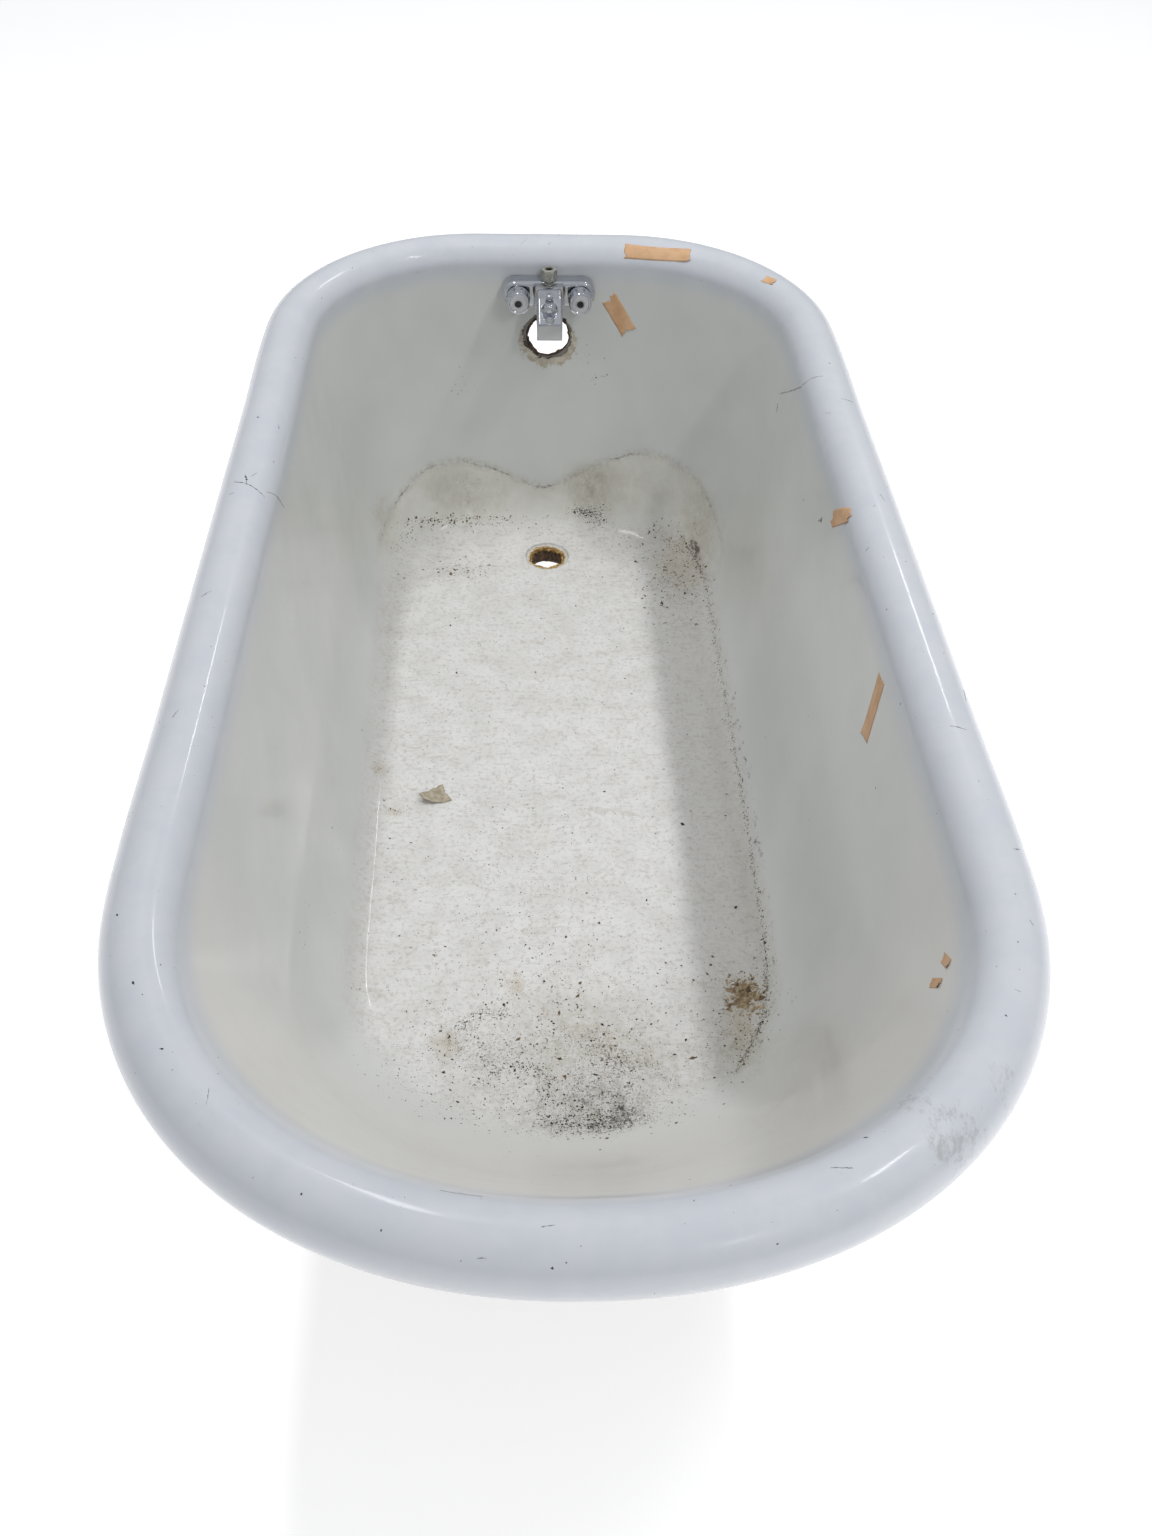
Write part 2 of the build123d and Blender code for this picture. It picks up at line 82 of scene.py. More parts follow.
def new_object(name, data):
    thing = bpy.data.objects.new(name, data)
    bpy.context.scene.collection.objects.link(thing)
    return thing


def make_piece(name, points, faces, material, smooth=True):
    """A mesh in the row frame that rides on the tub."""
    mesh = new_mesh(name, points, faces)
    mesh.validate()
    mesh.polygons.foreach_set("use_smooth", [smooth] * len(mesh.polygons))
    mesh.materials.append(material)
    piece = new_object(name, mesh)
    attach(piece, "tub")
    return piece


# ---- the enamel's surface
def plan(tap_width, back_width, tap_y, back_y, corner, back_curve):
    """Plan outline: straight tap end, round corners, straight sides, rounded back."""
    end, turn, side, back = (np.arange(n) / n for n in PLAN_STEPS)
    back = np.append(back, 1.0)
    half_tap, half_back = tap_width / 2, back_width / 2
    corner_y, curve_y = tap_y - corner, back_y + back_curve
    quarter, round_back = turn * math.pi / 2, back * math.pi / 2
    x = np.concatenate([
        end * (half_tap - corner),
        half_tap - corner + corner * np.sin(quarter),
        mix(half_tap, half_back, side),
        half_back * np.clip(np.cos(round_back), 0, 1) ** (2 / BACK_POWER),
    ])
    y = np.concatenate([
        np.full(len(end), tap_y),
        corner_y + corner * np.cos(quarter),
        mix(corner_y, curve_y, side),
        curve_y - back_curve * np.sin(round_back) ** (2 / BACK_POWER),
    ])
    right = np.stack([x, y], 1)
    left = right[-2:0:-1] * (-1, 1)
    return np.concatenate([right, left])


def plan_normals(points):
    step = np.roll(points, -1, 0) - np.roll(points, 1, 0)
    return unit_rows(np.stack([-step[:, 1], step[:, 0]], 1))


def bend_size(foot):
    """Height and reach of the bend between floor and wall at each place round the plan."""
    lobe = ease(np.abs(foot[:, 0]) / 0.15)
    turn = ease((FLOOR_TAP_Y - 0.06 - foot[:, 1]) / (FLOOR_CORNER - 0.06))
    back = ease((FLOOR_BACK_Y + FLOOR_BACK_CURVE - foot[:, 1]) / FLOOR_BACK_CURVE)
    at_tap = foot[:, 1] > FLOOR_TAP_Y - FLOOR_CORNER
    tap_height = mix(mix(0.056, 0.12, lobe), 0.125, turn)
    tap_reach = mix(mix(0.058, 0.075, lobe), 0.05, turn)
    height = np.where(at_tap, tap_height, mix(0.125, 0.15, back))
    reach = np.where(at_tap, tap_reach, mix(0.05, 0.09, back))
    return height, reach


def wet_levels():
    """Rows of points from the middle of the floor, up the wall and over the rolled rim."""
    rim = plan(TAP_WIDTH, BACK_WIDTH, TUB_LENGTH / 2, -TUB_LENGTH / 2, RIM_CORNER,
               RIM_BACK_CURVE)
    foot = plan(FLOOR_TAP_WIDTH, FLOOR_BACK_WIDTH, FLOOR_TAP_Y, FLOOR_BACK_Y, FLOOR_CORNER,
                FLOOR_BACK_CURVE)
    out = plan_normals(rim)
    foot_out = plan_normals(foot)
    centre = rim - ROLL * out
    centre_z = RIM_TOP - ROLL
    inward = ((centre - foot) * out).sum(1)
    drop = centre_z - FLOOR_Z
    lean = np.arccos(ROLL / np.hypot(inward, drop)) - np.arctan2(drop, inward)

    def roll(angle):
        place = centre + ROLL * np.cos(angle)[:, None] * out
        return np.column_stack([place, centre_z + ROLL * np.sin(angle)])

    def even(angle):
        return np.full(len(rim), angle)

    top = roll(math.pi - lean)
    corner = np.column_stack([foot, even(FLOOR_Z)])
    up = unit_rows(top - corner)
    height, reach = bend_size(foot)
    high = corner + up * (height / up[:, 2])[:, None]
    low = np.column_stack([foot - reach[:, None] * foot_out, even(FLOOR_Z)])
    spine = np.column_stack([even(0.0), np.clip(foot[:, 1], -0.26, 0.52), even(FLOOR_Z)])

    levels = [mix(spine, low, k / FLOOR_STEPS) for k in range(1, FLOOR_STEPS)]
    for k in range(BEND_STEPS):
        t = k / BEND_STEPS
        levels.append((1 - t) ** 2 * low + 2 * t * (1 - t) * corner + t * t * high)
    levels += [mix(high, top, k / WALL_STEPS) for k in range(WALL_STEPS)]
    levels += [roll(mix(math.pi - lean, math.pi / 2, k / FLANK_STEPS))
               for k in range(FLANK_STEPS)]
    levels += [roll(even(mix(math.pi / 2, math.radians(LIP_ANGLE), k / OUTER_STEPS)))
               for k in range(OUTER_STEPS + 1)]
    return np.array(levels)


def level_normals(levels):
    around = np.roll(levels, -1, 1) - np.roll(levels, 1, 1)
    along = np.gradient(levels, axis=0)
    return unit_rows(np.cross(along, around))


def follow_lining(top, normals):
    """Moves the rows on to the CAD lining's wet face, with its facets smoothed away."""
    lining = nodes["enamel_lining"]
    turn = lining.matrix_world
    tree = BVHTree.FromPolygons([turn @ v.co for v in lining.data.vertices],
                                [tuple(p.vertices) for p in lining.data.polygons])
    gap = np.zeros(top.shape[:2])
    for index in np.ndindex(gap.shape):
        place, normal = Vector(top[index]), Vector(normals[index])
        hit, _, _, far = tree.ray_cast(place + normal * LINING_REACH, -normal, 2 * LINING_REACH)
        if hit is not None:
            gap[index] = LINING_REACH - far
    for _ in range(5):
        gap = (2 * gap + np.roll(gap, 1, 1) + np.roll(gap, -1, 1)) / 4
        rows = np.pad(gap, ((1, 1), (0, 0)), "edge")
        gap = (2 * gap + rows[2:] + rows[:-2]) / 4
    return top + normals * gap[..., None]


def enamel_mesh():
    """A closed 1.2 mm skin: the wet face, its underside and the edge at the lip."""
    top = wet_levels()
    normals = level_normals(top)
    if normals[0, 0, 2] < 0:
        normals = -normals
    top = follow_lining(top, normals)
    under = top - ENAMEL * normals
    rows, count = top.shape[:2]
    points = np.concatenate([top.reshape(-1, 3), under.reshape(-1, 3)])
    shift = rows * count
    faces = []
    for j in range(rows - 1):
        for i in range(count):
            a, b = j * count + i, j * count + (i + 1) % count
            faces.append((a, b, b + count, a + count))
            faces.append((a + shift, a + count + shift, b + count + shift, b + shift))
    last = (rows - 1) * count
    for i in range(count):
        a, b = last + i, last + (i + 1) % count
        faces.append((a, b, b + shift, a + shift))
    half = count // 2
    for offset, order in ((0, -1), (shift, 1)):
        strip = [tuple(offset + k % count for k in (i, i + 1, count - i - 1, count - i))
                 for i in range(half)]
        faces += [tuple(dict.fromkeys(face))[::order] for face in strip]
    return points, faces, top


# ---- places on the tub
end_wall = wet_levels()[:, 0]
wall_foot, wall_head = Vector(end_wall[WALL_ROW]), Vector(end_wall[ROLL_ROW])
WALL_UP = (wall_head - wall_foot).normalized()
WALL_OUT = Vector((0.0, -WALL_UP.z, WALL_UP.y))
HANDLES = wall_foot + WALL_UP * ((HANDLE_Z - wall_foot.z) / WALL_UP.z)
OVERFLOW = HANDLES - WALL_UP * OVERFLOW_DROP


def on_wall(x, out, up):
    """A point in the tap's own frame: across, out from the end wall, up the wall."""
    return HANDLES + Vector((x, 0.0, 0.0)) + WALL_OUT * out + WALL_UP * up


# ---- marks, as densities on the enamel
def blob(place, x, y, wide, long, amount=1.0):
    """A soft spot in plan."""
    return amount * np.exp(-((place[:, 0] - x) / wide) ** 2 - ((place[:, 1] - y) / long) ** 2)


def stroke(place, path, width, amount=1.0):
    """A soft line in plan through the points of path."""
    best = np.full(len(place), 1e9)
    flat = place[:, :2]
    for start, end in zip(path[:-1], path[1:]):
        a, b = np.array(start), np.array(end)
        t = np.clip(((flat - a) @ (b - a)) / ((b - a) @ (b - a)), 0, 1)
        best = np.minimum(best, np.linalg.norm(flat - a - t[:, None] * (b - a), axis=1))
    return amount * np.exp(-(best / width) ** 2)


# height of the scum line across the tap end, with its dip in the middle
TIDE_X = (-0.275, -0.262, -0.24, -0.192, -0.14, -0.087, -0.003, 0.055, 0.112, 0.172, 0.235,
          0.266, 0.282)
TIDE_Z = (0.15, 0.19, 0.225, 0.265, 0.27, 0.255, 0.216, 0.248, 0.275, 0.288, 0.267, 0.21,
          0.15)
TIDE_ROUNDING = 0.014
# the dirt line along the foot of one side, in plan
DIRT_LINE = ((0.225, 0.62), (0.24, 0.52), (0.246, 0.28), (0.249, 0.05), (0.246, -0.17),
             (0.232, -0.28), (0.19, -0.36))
# black dust on the bottom: x, y, width, length, amount
SOOT_SPOTS = (
    (0.0, -0.34, 0.15, 0.08, 0.6), (0.02, -0.4, 0.09, 0.035, 0.75),
    (-0.12, -0.29, 0.06, 0.06, 0.45), (-0.04, -0.22, 0.08, 0.07, 0.4),
    (0.1, -0.3, 0.07, 0.1, 0.35),
    (-0.02, -0.08, 0.08, 0.16, 0.25), (-0.12, 0.668, 0.1, 0.022, 0.75),
    (-0.14, 0.545, 0.05, 0.03, 0.6), (0.072, 0.69, 0.034, 0.05, 1.0),
    (0.205, 0.54, 0.042, 0.09, 0.5), (0.16, 0.5, 0.05, 0.05, 0.4),
    (-0.24, 0.62, 0.03, 0.04, 0.65), (0.208, -0.242, 0.05, 0.05, 0.3),
    (0.19, -0.33, 0.04, 0.06, 0.6), (0.225, 0.1, 0.03, 0.35, 0.25),
)
# tan and rust stains: x, y, width, length, amount
RUST_SPOTS = (
    (0.208, -0.242, 0.034, 0.03, 0.55), (0.198, -0.3, 0.022, 0.05, 0.7),
    (-0.228, 0.12, 0.014, 0.014, 0.9), (-0.204, 0.045, 0.014, 0.01, 0.8),
    (-0.13, -0.3, 0.02, 0.024, 0.8), (-0.053, -0.224, 0.012, 0.022, 0.7),
    (-0.02, 0.0, 0.022, 0.045, 0.42), (0.1, -0.33, 0.06, 0.05, 0.4),
    (0.01, -0.28, 0.09, 0.07, 0.48), (0.21, 0.56, 0.06, 0.09, 0.72),
    (0.1, 0.69, 0.08, 0.04, 0.6), (-0.255, 0.6, 0.02, 0.05, 0.55),
    (-0.14, 0.66, 0.09, 0.03, 0.5),
)
# dark smears drawn as lines: path in plan, width, amount
GRIME_STROKES = (
    (DIRT_LINE, 0.013, 0.74),
    (((-0.091, -0.348), (-0.062, -0.328), (-0.03, -0.333), (-0.016, -0.357)), 0.009, 0.75),
    (((-0.024, -0.403), (-0.002, -0.418), (0.027, -0.414), (0.041, -0.398)), 0.013, 0.75),
    (((-0.117, -0.283), (-0.094, -0.261), (-0.06, -0.262)), 0.008, 0.5),
    (((0.055, 0.705), (0.075, 0.69), (0.088, 0.655)), 0.018, 0.55),
    (((0.17, 0.64), (0.205, 0.6), (0.225, 0.57)), 0.01, 0.4),
)
# soft brown-grey smears: x, y, width, length, amount
SMEARS = (
    (0.076, 0.694, 0.026, 0.045, 1.0), (0.045, 0.69, 0.016, 0.02, 0.6),
    (0.24, 0.6, 0.022, 0.06, 0.55), (-0.252, 0.6, 0.018, 0.045, 0.55),
    (0.2, 0.53, 0.035, 0.07, 0.35), (0.205, -0.25, 0.035, 0.045, 0.35),
    (0.19, -0.33, 0.035, 0.05, 0.65), (0.02, -0.395, 0.06, 0.028, 0.55),
    (-0.02, -0.34, 0.08, 0.045, 0.4), (-0.12, 0.668, 0.08, 0.014, 0.4),
    (0.02, -0.28, 0.09, 0.05, 0.3), (-0.14, 0.545, 0.035, 0.016, 0.4),
    (0.228, -0.1, 0.014, 0.14, 0.55), (0.222, 0.16, 0.012, 0.12, 0.35),
)
# scuffed places on the rim: centre, reach, amount
SCUFFS = (
    ((0.225, -0.633, 0.59), 0.022, 0.8), ((0.249, -0.668, 0.598), 0.02, 1.0),
    ((0.3, -0.62, 0.598), 0.04, 0.65), ((0.275, -0.685, 0.585), 0.045, 0.6),
    ((0.16, -0.715, 0.6), 0.04, 0.4), ((-0.345, 0.12, 0.6), 0.035, 0.5),
    ((0.33, 0.37, 0.6), 0.05, 0.5), ((-0.25, -0.64, 0.6), 0.06, 0.5),
    ((-0.34, -0.1, 0.6), 0.05, 0.4), ((-0.3, 0.56, 0.6), 0.06, 0.5),
)


def tide_height(x):
    """The scum line's height, with its corners rounded."""
    shifts = np.linspace(-TIDE_ROUNDING, TIDE_ROUNDING, 7)
    return sum(np.interp(x + shift, TIDE_X, TIDE_Z) for shift in shifts) / len(shifts)


def mark_fields(place):
    """One value per vertex for each kind of mark on the enamel."""
    x, y, z = place.T
    fields = {}
    fields["rim"] = ease((z - 0.54) / 0.034)
    fields["floor"] = 1 - ease((z - FLOOR_Z) / 0.03)
    # darker floor beside the middle strip, where the lights' shadows fall: painted shade, with some
    # dirt
    fields["grey"] = ease((x - 0.135) / 0.05) + 0.5 * ease((-0.2 - x) / 0.03)
    fields["tap_end"] = ease((y - 0.5) / 0.1)
    fields["tide"] = np.clip(z - tide_height(x), -0.1, 0.1)
    fields["slope"] = ease((-y - 0.3) / 0.2) * (1 - fields["rim"])
    low = 1 - ease((z - 0.235) / 0.045)
    soot = 0.16 * fields["floor"] + 0.02
    for spot in SOOT_SPOTS:
        soot = soot + blob(place, *spot) * low
    fields["soot"] = np.clip(soot, 0, 1)
    fields["smear"] = np.clip(sum(blob(place, *spot) for spot in SMEARS) * low, 0, 1)
    fields["rust"] = np.clip(sum(blob(place, *spot) for spot in RUST_SPOTS) * low, 0, 1)
    for name, centre, radius in (("overflow_gap", OVERFLOW, OVERFLOW_RADIUS),
                                 ("drain_gap", DRAIN, DRAIN_RADIUS)):
        reach = np.linalg.norm(place - np.array(centre), axis=1) - radius
        fields[name] = np.clip(reach, 0, 0.05)
    below = on_wall(0, 0, 0).z - OVERFLOW_DROP - z
    fields["overflow_side"] = 0.55 + 0.45 * np.clip(below / 0.03, -1, 1)
    grime = sum(stroke(place, *line) for line in GRIME_STROKES) * low
    fields["grime"] = np.clip(grime, 0, 1)
    scuff = 0.15 * fields["rim"]
    for centre, reach, amount in SCUFFS:
        away = np.linalg.norm(place - np.array(centre), axis=1)
        scuff = scuff + amount * np.exp(-(away / reach) ** 2)
    fields["scuff"] = np.clip(scuff, 0, 1)
    return fields


# ---- node materials
class Shader:
    """A small builder for one material's nodes. Values are numbers, tuples or sockets."""

    def __init__(self, name, **constants):
        self.material = bpy.data.materials.new(name)
        self.material.use_nodes = True
        self.nodes = self.material.node_tree.nodes
        self.links = self.material.node_tree.links
        self.surface = self.nodes["Principled BSDF"]
        for key, value in constants.items():
            self.put(self.surface.inputs[key.replace("_", " ")], value)
        self.place = self.add("ShaderNodeTexCoord").outputs["Object"]

    def put(self, socket, value):
        if isinstance(value, bpy.types.NodeSocket):
            self.links.new(value, socket)
        elif isinstance(value, tuple) and len(value) == 3 and socket.type == "RGBA":
            socket.default_value = (*value, 1.0)
        else:
            socket.default_value = value

    def add(self, kind, inputs=None, **settings):
        node = self.nodes.new(kind)
        for key, value in settings.items():
            setattr(node, key, value)
        for key, value in (inputs or {}).items():
            self.put(node.inputs[key], value)
        return node

    def math(self, operation, a, b=0.0):
        return self.add("ShaderNodeMath", {0: a, 1: b}, operation=operation).outputs[0]

    def about_zero(self, noise):
        return self.math("SUBTRACT", noise, 0.5)

    def field(self, name):
        return self.add("ShaderNodeAttribute", attribute_name=name).outputs["Fac"]

    def noise(self, scale, detail=4.0, roughness=0.55, warp=0.0, place=None):
        inputs = {"Vector": place or self.place, "Scale": scale, "Detail": detail,
                  "Roughness": roughness, "Distortion": warp}
        return self.add("ShaderNodeTexNoise", inputs).outputs["Fac"]

    def stretched(self, scales, detail, roughness, warp=0.0, turn=(0.0, 0.0, 0.0)):
        """Noise with its own scale along each axis."""
        inputs = {"Vector": self.place, "Scale": scales, "Rotation": turn}
        place = self.add("ShaderNodeMapping", inputs).outputs[0]
        return self.noise(1.0, detail, roughness, warp, place)

    def step(self, value, low, high, to_low=0.0, to_high=1.0):
        """Smooth step of value from low to high. low may be above high."""
        inputs = {0: value, 1: low, 2: high, 3: to_low, 4: to_high}
        return self.add("ShaderNodeMapRange", inputs,
                        interpolation_type="SMOOTHSTEP").outputs[0]

    def blend(self, share, a, b):
        return self.add("ShaderNodeMix", {0: share, 6: a, 7: b}, data_type="RGBA").outputs[2]

    def times(self, a, b):
        return self.math("MULTIPLY", a, b)

    def sum(self, *values):
        total = values[0]
        for value in values[1:]:
            total = self.math("ADD", total, value)
        return total

    def specks(self, scale, density, biggest):
        """Round specks: a share of the cells, each with its own size."""
        inputs = {"Vector": self.place, "Scale": scale}
        cell = self.add("ShaderNodeTexVoronoi", inputs).outputs
        parts = self.add("ShaderNodeSeparateColor", {0: cell["Color"]}).outputs
        chosen = self.step(self.math("SUBTRACT", density, parts[0]), 0.0, 0.02)
        radius = self.times(self.sum(self.times(parts[1], 0.8), 0.2), biggest)
        inside = self.step(self.math("DIVIDE", cell["Distance"], radius), 1.0, 0.6)
        return self.times(chosen, inside)

    def patches(self, density, noise, softness=0.06):
        """Where density plus noise passes 1."""
        return self.step(self.sum(density, noise), 1 - softness, 1 + softness)

    def bump(self, height, distance, strength=1.0, normal=None):
        inputs = {"Height": height, "Distance": distance, "Strength": strength}
        if normal:
            inputs["Normal"] = normal
        return self.add("ShaderNodeBump", inputs).outputs[0]

    def mottle(self, noise, a, b, low=0.35, high=0.65):
        """Two colours, mixed by a noise."""
        return self.blend(self.step(noise, low, high), a, b)

    def over(self, share, paint):
        """Lays paint over the colour so far."""
        self.color = self.blend(share, self.color, paint)

    def finish(self, roughness, normal=None):
        self.put(self.surface.inputs["Base Color"], self.color)
        self.put(self.surface.inputs["Roughness"], roughness)
        if normal:
            self.put(self.surface.inputs["Normal"], normal)
        return self.material


def enamel_material():
    s = Shader("old_enamel", IOR=1.5, Coat_Weight=0.5, Coat_Roughness=0.08)
    rim, floor, tide = s.field("rim"), s.field("floor"), s.field("tide")
    soot, rust, grime = s.field("soot"), s.field("rust"), s.field("grime")
    tap_end, slope, scuff = s.field("tap_end"), s.field("slope"), s.field("scuff")
    broad = s.noise(4.0, 3.0)
    cloud = s.noise(26.0, 6.0, 0.65)
    grain = s.noise(150.0, 6.0, 0.7)
    ragged = s.stretched((95.0, 60.0, 75.0), 10.0, 0.8, 0.3)

    s.color = s.mottle(broad, (0.6, 0.615, 0.6), (0.66, 0.67, 0.65))
    s.over(slope, (0.665, 0.655, 0.63))
    # the rim: the enamel's own colour with a painted bluish reflection of the sky on it
    rim_tone_and_painted_sky = s.mottle(cloud, (0.54, 0.566, 0.613), (0.573, 0.594, 0.627), 0.35, 0.7)
    s.over(rim, rim_tone_and_painted_sky)
    below = s.times(s.step(tide, 0.003, -0.006), tap_end)
    pale = s.mottle(cloud, (0.63, 0.605, 0.53), (0.77, 0.75, 0.69), 0.3, 0.7)
    s.over(s.times(below, 0.55), pale)
    floor_wear_and_shade = s.mottle(cloud, (0.73, 0.722, 0.712), (0.655, 0.645, 0.628))
    # the floor's mottled wear, then painted shade with some dirt in the darker strips on both
    # sides, along the lights' shadow edges
    floor_wear_and_shade = s.blend(s.times(s.field("grey"), 0.75), floor_wear_and_shade, (0.6, 0.585, 0.56))
    s.over(s.times(floor, 0.94), floor_wear_and_shade)
    streak = s.stretched((32.0, 260.0, 90.0), 8.0, 0.78)
    s.over(s.times(floor, s.step(streak, 0.53, 0.7, 0.0, 0.6)), (0.42, 0.4, 0.36))
    stained = s.patches(0.44, s.noise(170.0, 8.0, 0.8), 0.07)
    s.over(s.times(floor, s.times(stained, 0.5)), (0.4, 0.37, 0.32))
    smudged = s.patches(0.4, s.stretched((26.0, 44.0, 40.0), 10.0, 0.78, 0.5))
    s.over(s.times(floor, s.times(smudged, 0.3)), (0.42, 0.37, 0.29))

    # the scum line: a thin broken dark line in a broad faint band
    wobble = s.about_zero(s.noise(60.0, 7.0, 0.75))
    from_line = s.math("ABSOLUTE", s.sum(tide, s.times(wobble, 0.016)))
    broken = s.times(s.step(grain, 0.42, 0.6, 0.15, 1.0), tap_end)
    band = s.times(s.times(s.step(from_line, 0.014, 0.002), broken), 0.35)
    s.over(band, (0.36, 0.32, 0.25))
    line = s.times(s.step(from_line, 0.003, 0.0004), s.times(broken, s.step(cloud, 0.42, 0.6)))
    s.over(s.times(line, 0.8), (0.16, 0.13, 0.09))

    # brown and black marks, then pepper
    tan = s.times(s.step(s.sum(rust, s.times(s.about_zero(ragged), 1.6)), 0.15, 1.0), 0.5)
    s.over(tan, (0.47, 0.4, 0.29))
    brown = s.patches(s.times(rust, 0.5), ragged, 0.05)
    rusty = s.mottle(grain, (0.15, 0.09, 0.045), (0.36, 0.26, 0.15), 0.4, 0.6)
    s.over(s.times(brown, 0.8), rusty)
    smeared = s.times(s.field("smear"), s.step(ragged, 0.3, 0.65, 0.35, 1.0))
    s.over(s.times(smeared, 0.66), (0.31, 0.285, 0.2))
    soiled = s.patches(s.times(soot, 0.44), ragged, 0.1)
    s.over(s.times(soiled, 0.45), (0.27, 0.245, 0.205))
    dark = s.patches(s.times(grime, 0.56), ragged, 0.05)
    s.over(s.times(dark, 0.85), (0.085, 0.07, 0.055))
    thick = s.step(s.noise(8.0, 3.0, 0.6), 0.32, 0.68, -0.1, 0.06)
    fine = s.patches(s.sum(s.times(soot, 0.22), thick, 0.195), s.noise(400.0, 5.0, 0.85), 0.02)
    coarse = s.patches(s.sum(s.times(soot, 0.24), thick, 0.165), s.noise(175.0, 6.0, 0.85), 0.02)
    pepper = s.math("MAXIMUM", fine, coarse)
    s.over(s.times(pepper, 0.9),
           s.mottle(rust, (0.045, 0.04, 0.035), (0.12, 0.075, 0.04), 0.3, 0.8))

    # scuffs on the rim
    rubbed = s.stretched((150.0, 70.0, 110.0), 10.0, 0.82, 0.0, (0.0, 0.0, 0.7))
    worn_rim = s.patches(s.sum(s.times(scuff, 0.34), 0.14), rubbed, 0.07)
    s.over(s.times(worn_rim, 0.5), (0.3, 0.29, 0.28))

    # stains round the overflow and the drain, with painted shade at the overflow's edge
    lean = s.times(s.about_zero(s.noise(75.0, 8.0, 0.75)), 0.055)
    from_overflow = s.math("DIVIDE", s.field("overflow_gap"), s.field("overflow_side"))
    from_overflow = s.sum(from_overflow, lean)
    crust = s.times(s.step(from_overflow, 0.0165, 0.013), 0.8)
    s.over(crust, s.mottle(grain, (0.36, 0.29, 0.19), (0.6, 0.53, 0.42), 0.38, 0.62))
    # dark ring at the overflow's edge: rust, and painted shade of the hole's edge
    overflow_edge_rust_and_shade = s.step(s.sum(s.field("overflow_gap"), s.times(lean, 0.45)), 0.0042, 0.0022)
    s.over(overflow_edge_rust_and_shade, s.mottle(grain, (0.03, 0.022, 0.018), (0.13, 0.085, 0.05), 0.45, 0.6))
    from_drain = s.sum(s.field("drain_gap"), s.times(lean, 0.3))
    ring = s.times(s.step(from_drain, 0.0085, 0.006), s.step(from_drain, 0.003, 0.0055))
    s.over(s.times(ring, 0.35), (0.33, 0.31, 0.27))
    yellow = s.step(from_drain, 0.0042, 0.002)
    s.over(s.times(yellow, 0.9), s.mottle(grain, (0.24, 0.12, 0.04), (0.62, 0.45, 0.16), 0.4, 0.6))

    dirt = s.math("MAXIMUM", s.math("MAXIMUM", brown, dark), s.math("MAXIMUM", pepper, overflow_edge_rust_and_shade))
    gloss = s.blend(rim, s.blend(floor, (0.32,) * 3, (0.66,) * 3), (0.29,) * 3)
    roughness = s.sum(s.times(s.step(cloud, 0.4, 0.8), 0.1), gloss, s.times(dirt, 0.35),
                      s.times(worn_rim, 0.25))
    wave = s.bump(s.noise(9.0, 2.0), 0.0016)
    peel = s.bump(s.noise(220.0, 2.0), 0.00006, normal=wave)
    relief = s.sum(s.times(dirt, 0.6), s.times(s.times(grain, floor), 0.5), s.times(crust, 0.5))
    normal = s.bump(relief, 0.0006, 0.6, normal=peel)
    return s.finish(roughness, normal)


def casting_material():
    s = Shader("cast_iron_outside", IOR=1.5)
    cloud = s.noise(9.0, 6.0, 0.65)
    fine = s.noise(90.0, 8.0, 0.75)
    s.color = s.mottle(cloud, (0.17, 0.155, 0.14), (0.26, 0.245, 0.23))
    runs = s.stretched((26.0, 26.0, 3.5), 6.0, 0.7, 0.2)
    s.over(s.step(runs, 0.45, 0.75, 0.0, 0.55), (0.11, 0.09, 0.075))
    rust = s.patches(s.step(s.noise(5.0, 5.0, 0.65), 0.35, 0.7, 0.3, 0.5), fine, 0.08)
    s.over(s.times(rust, 0.75), (0.19, 0.085, 0.04))
    sand = s.bump(s.noise(420.0, 5.0, 0.7), 0.0006)
    return s.finish(s.step(fine, 0.3, 0.7, 0.55, 0.85), s.bump(cloud, 0.002, normal=sand))


def foot_material():
    s = Shader("foot_iron_painted", IOR=1.5)
    fine = s.noise(120.0, 8.0, 0.7)
    cloud = s.noise(22.0, 5.0, 0.6)
    s.color = s.mottle(cloud, (0.33, 0.32, 0.3), (0.44, 0.43, 0.41), 0.4, 0.6)
    s.over(s.patches(0.4, fine), (0.13, 0.065, 0.03))
    sand = s.bump(s.noise(500.0, 4.0, 0.7), 0.0004)
    return s.finish(s.step(fine, 0.3, 0.7, 0.35, 0.7), s.bump(fine, 0.0005, normal=sand))


SPOT_CELLS, SPOT_SIZE, EDGE_ROUNDING = 420.0, 0.001, 0.0006


def metal_material(name, light, dark, shine, spotting):
    s = Shader(name, Metallic=1.0)
    cloud = s.noise(60.0, 6.0, 0.65)
    spots = s.specks(SPOT_CELLS, spotting, SPOT_SIZE * SPOT_CELLS)
    s.color = s.mottle(cloud, light, dark, 0.45, 0.75)
    s.over(s.times(spots, 0.6), tuple(0.55 * c for c in dark))
    roughness = s.sum(s.step(cloud, 0.35, 0.8, shine, shine + 0.12), s.times(spots, 0.3))
    edges = s.add("ShaderNodeBevel", {"Radius": EDGE_ROUNDING}, samples=4).outputs[0]
    wave = s.bump(s.noise(70.0, 2.0), 0.00012, normal=edges)
    return s.finish(roughness, wave)


def plain_material(name, light, dark, roughness, scale=160.0):
    s = Shader(name, IOR=1.5)
    grain = s.noise(scale, 6.0, 0.65)
    s.color = s.mottle(grain, dark, light)
    return s.finish(s.step(grain, 0.3, 0.7, roughness, roughness + 0.15),
                    s.bump(grain, 0.0002))


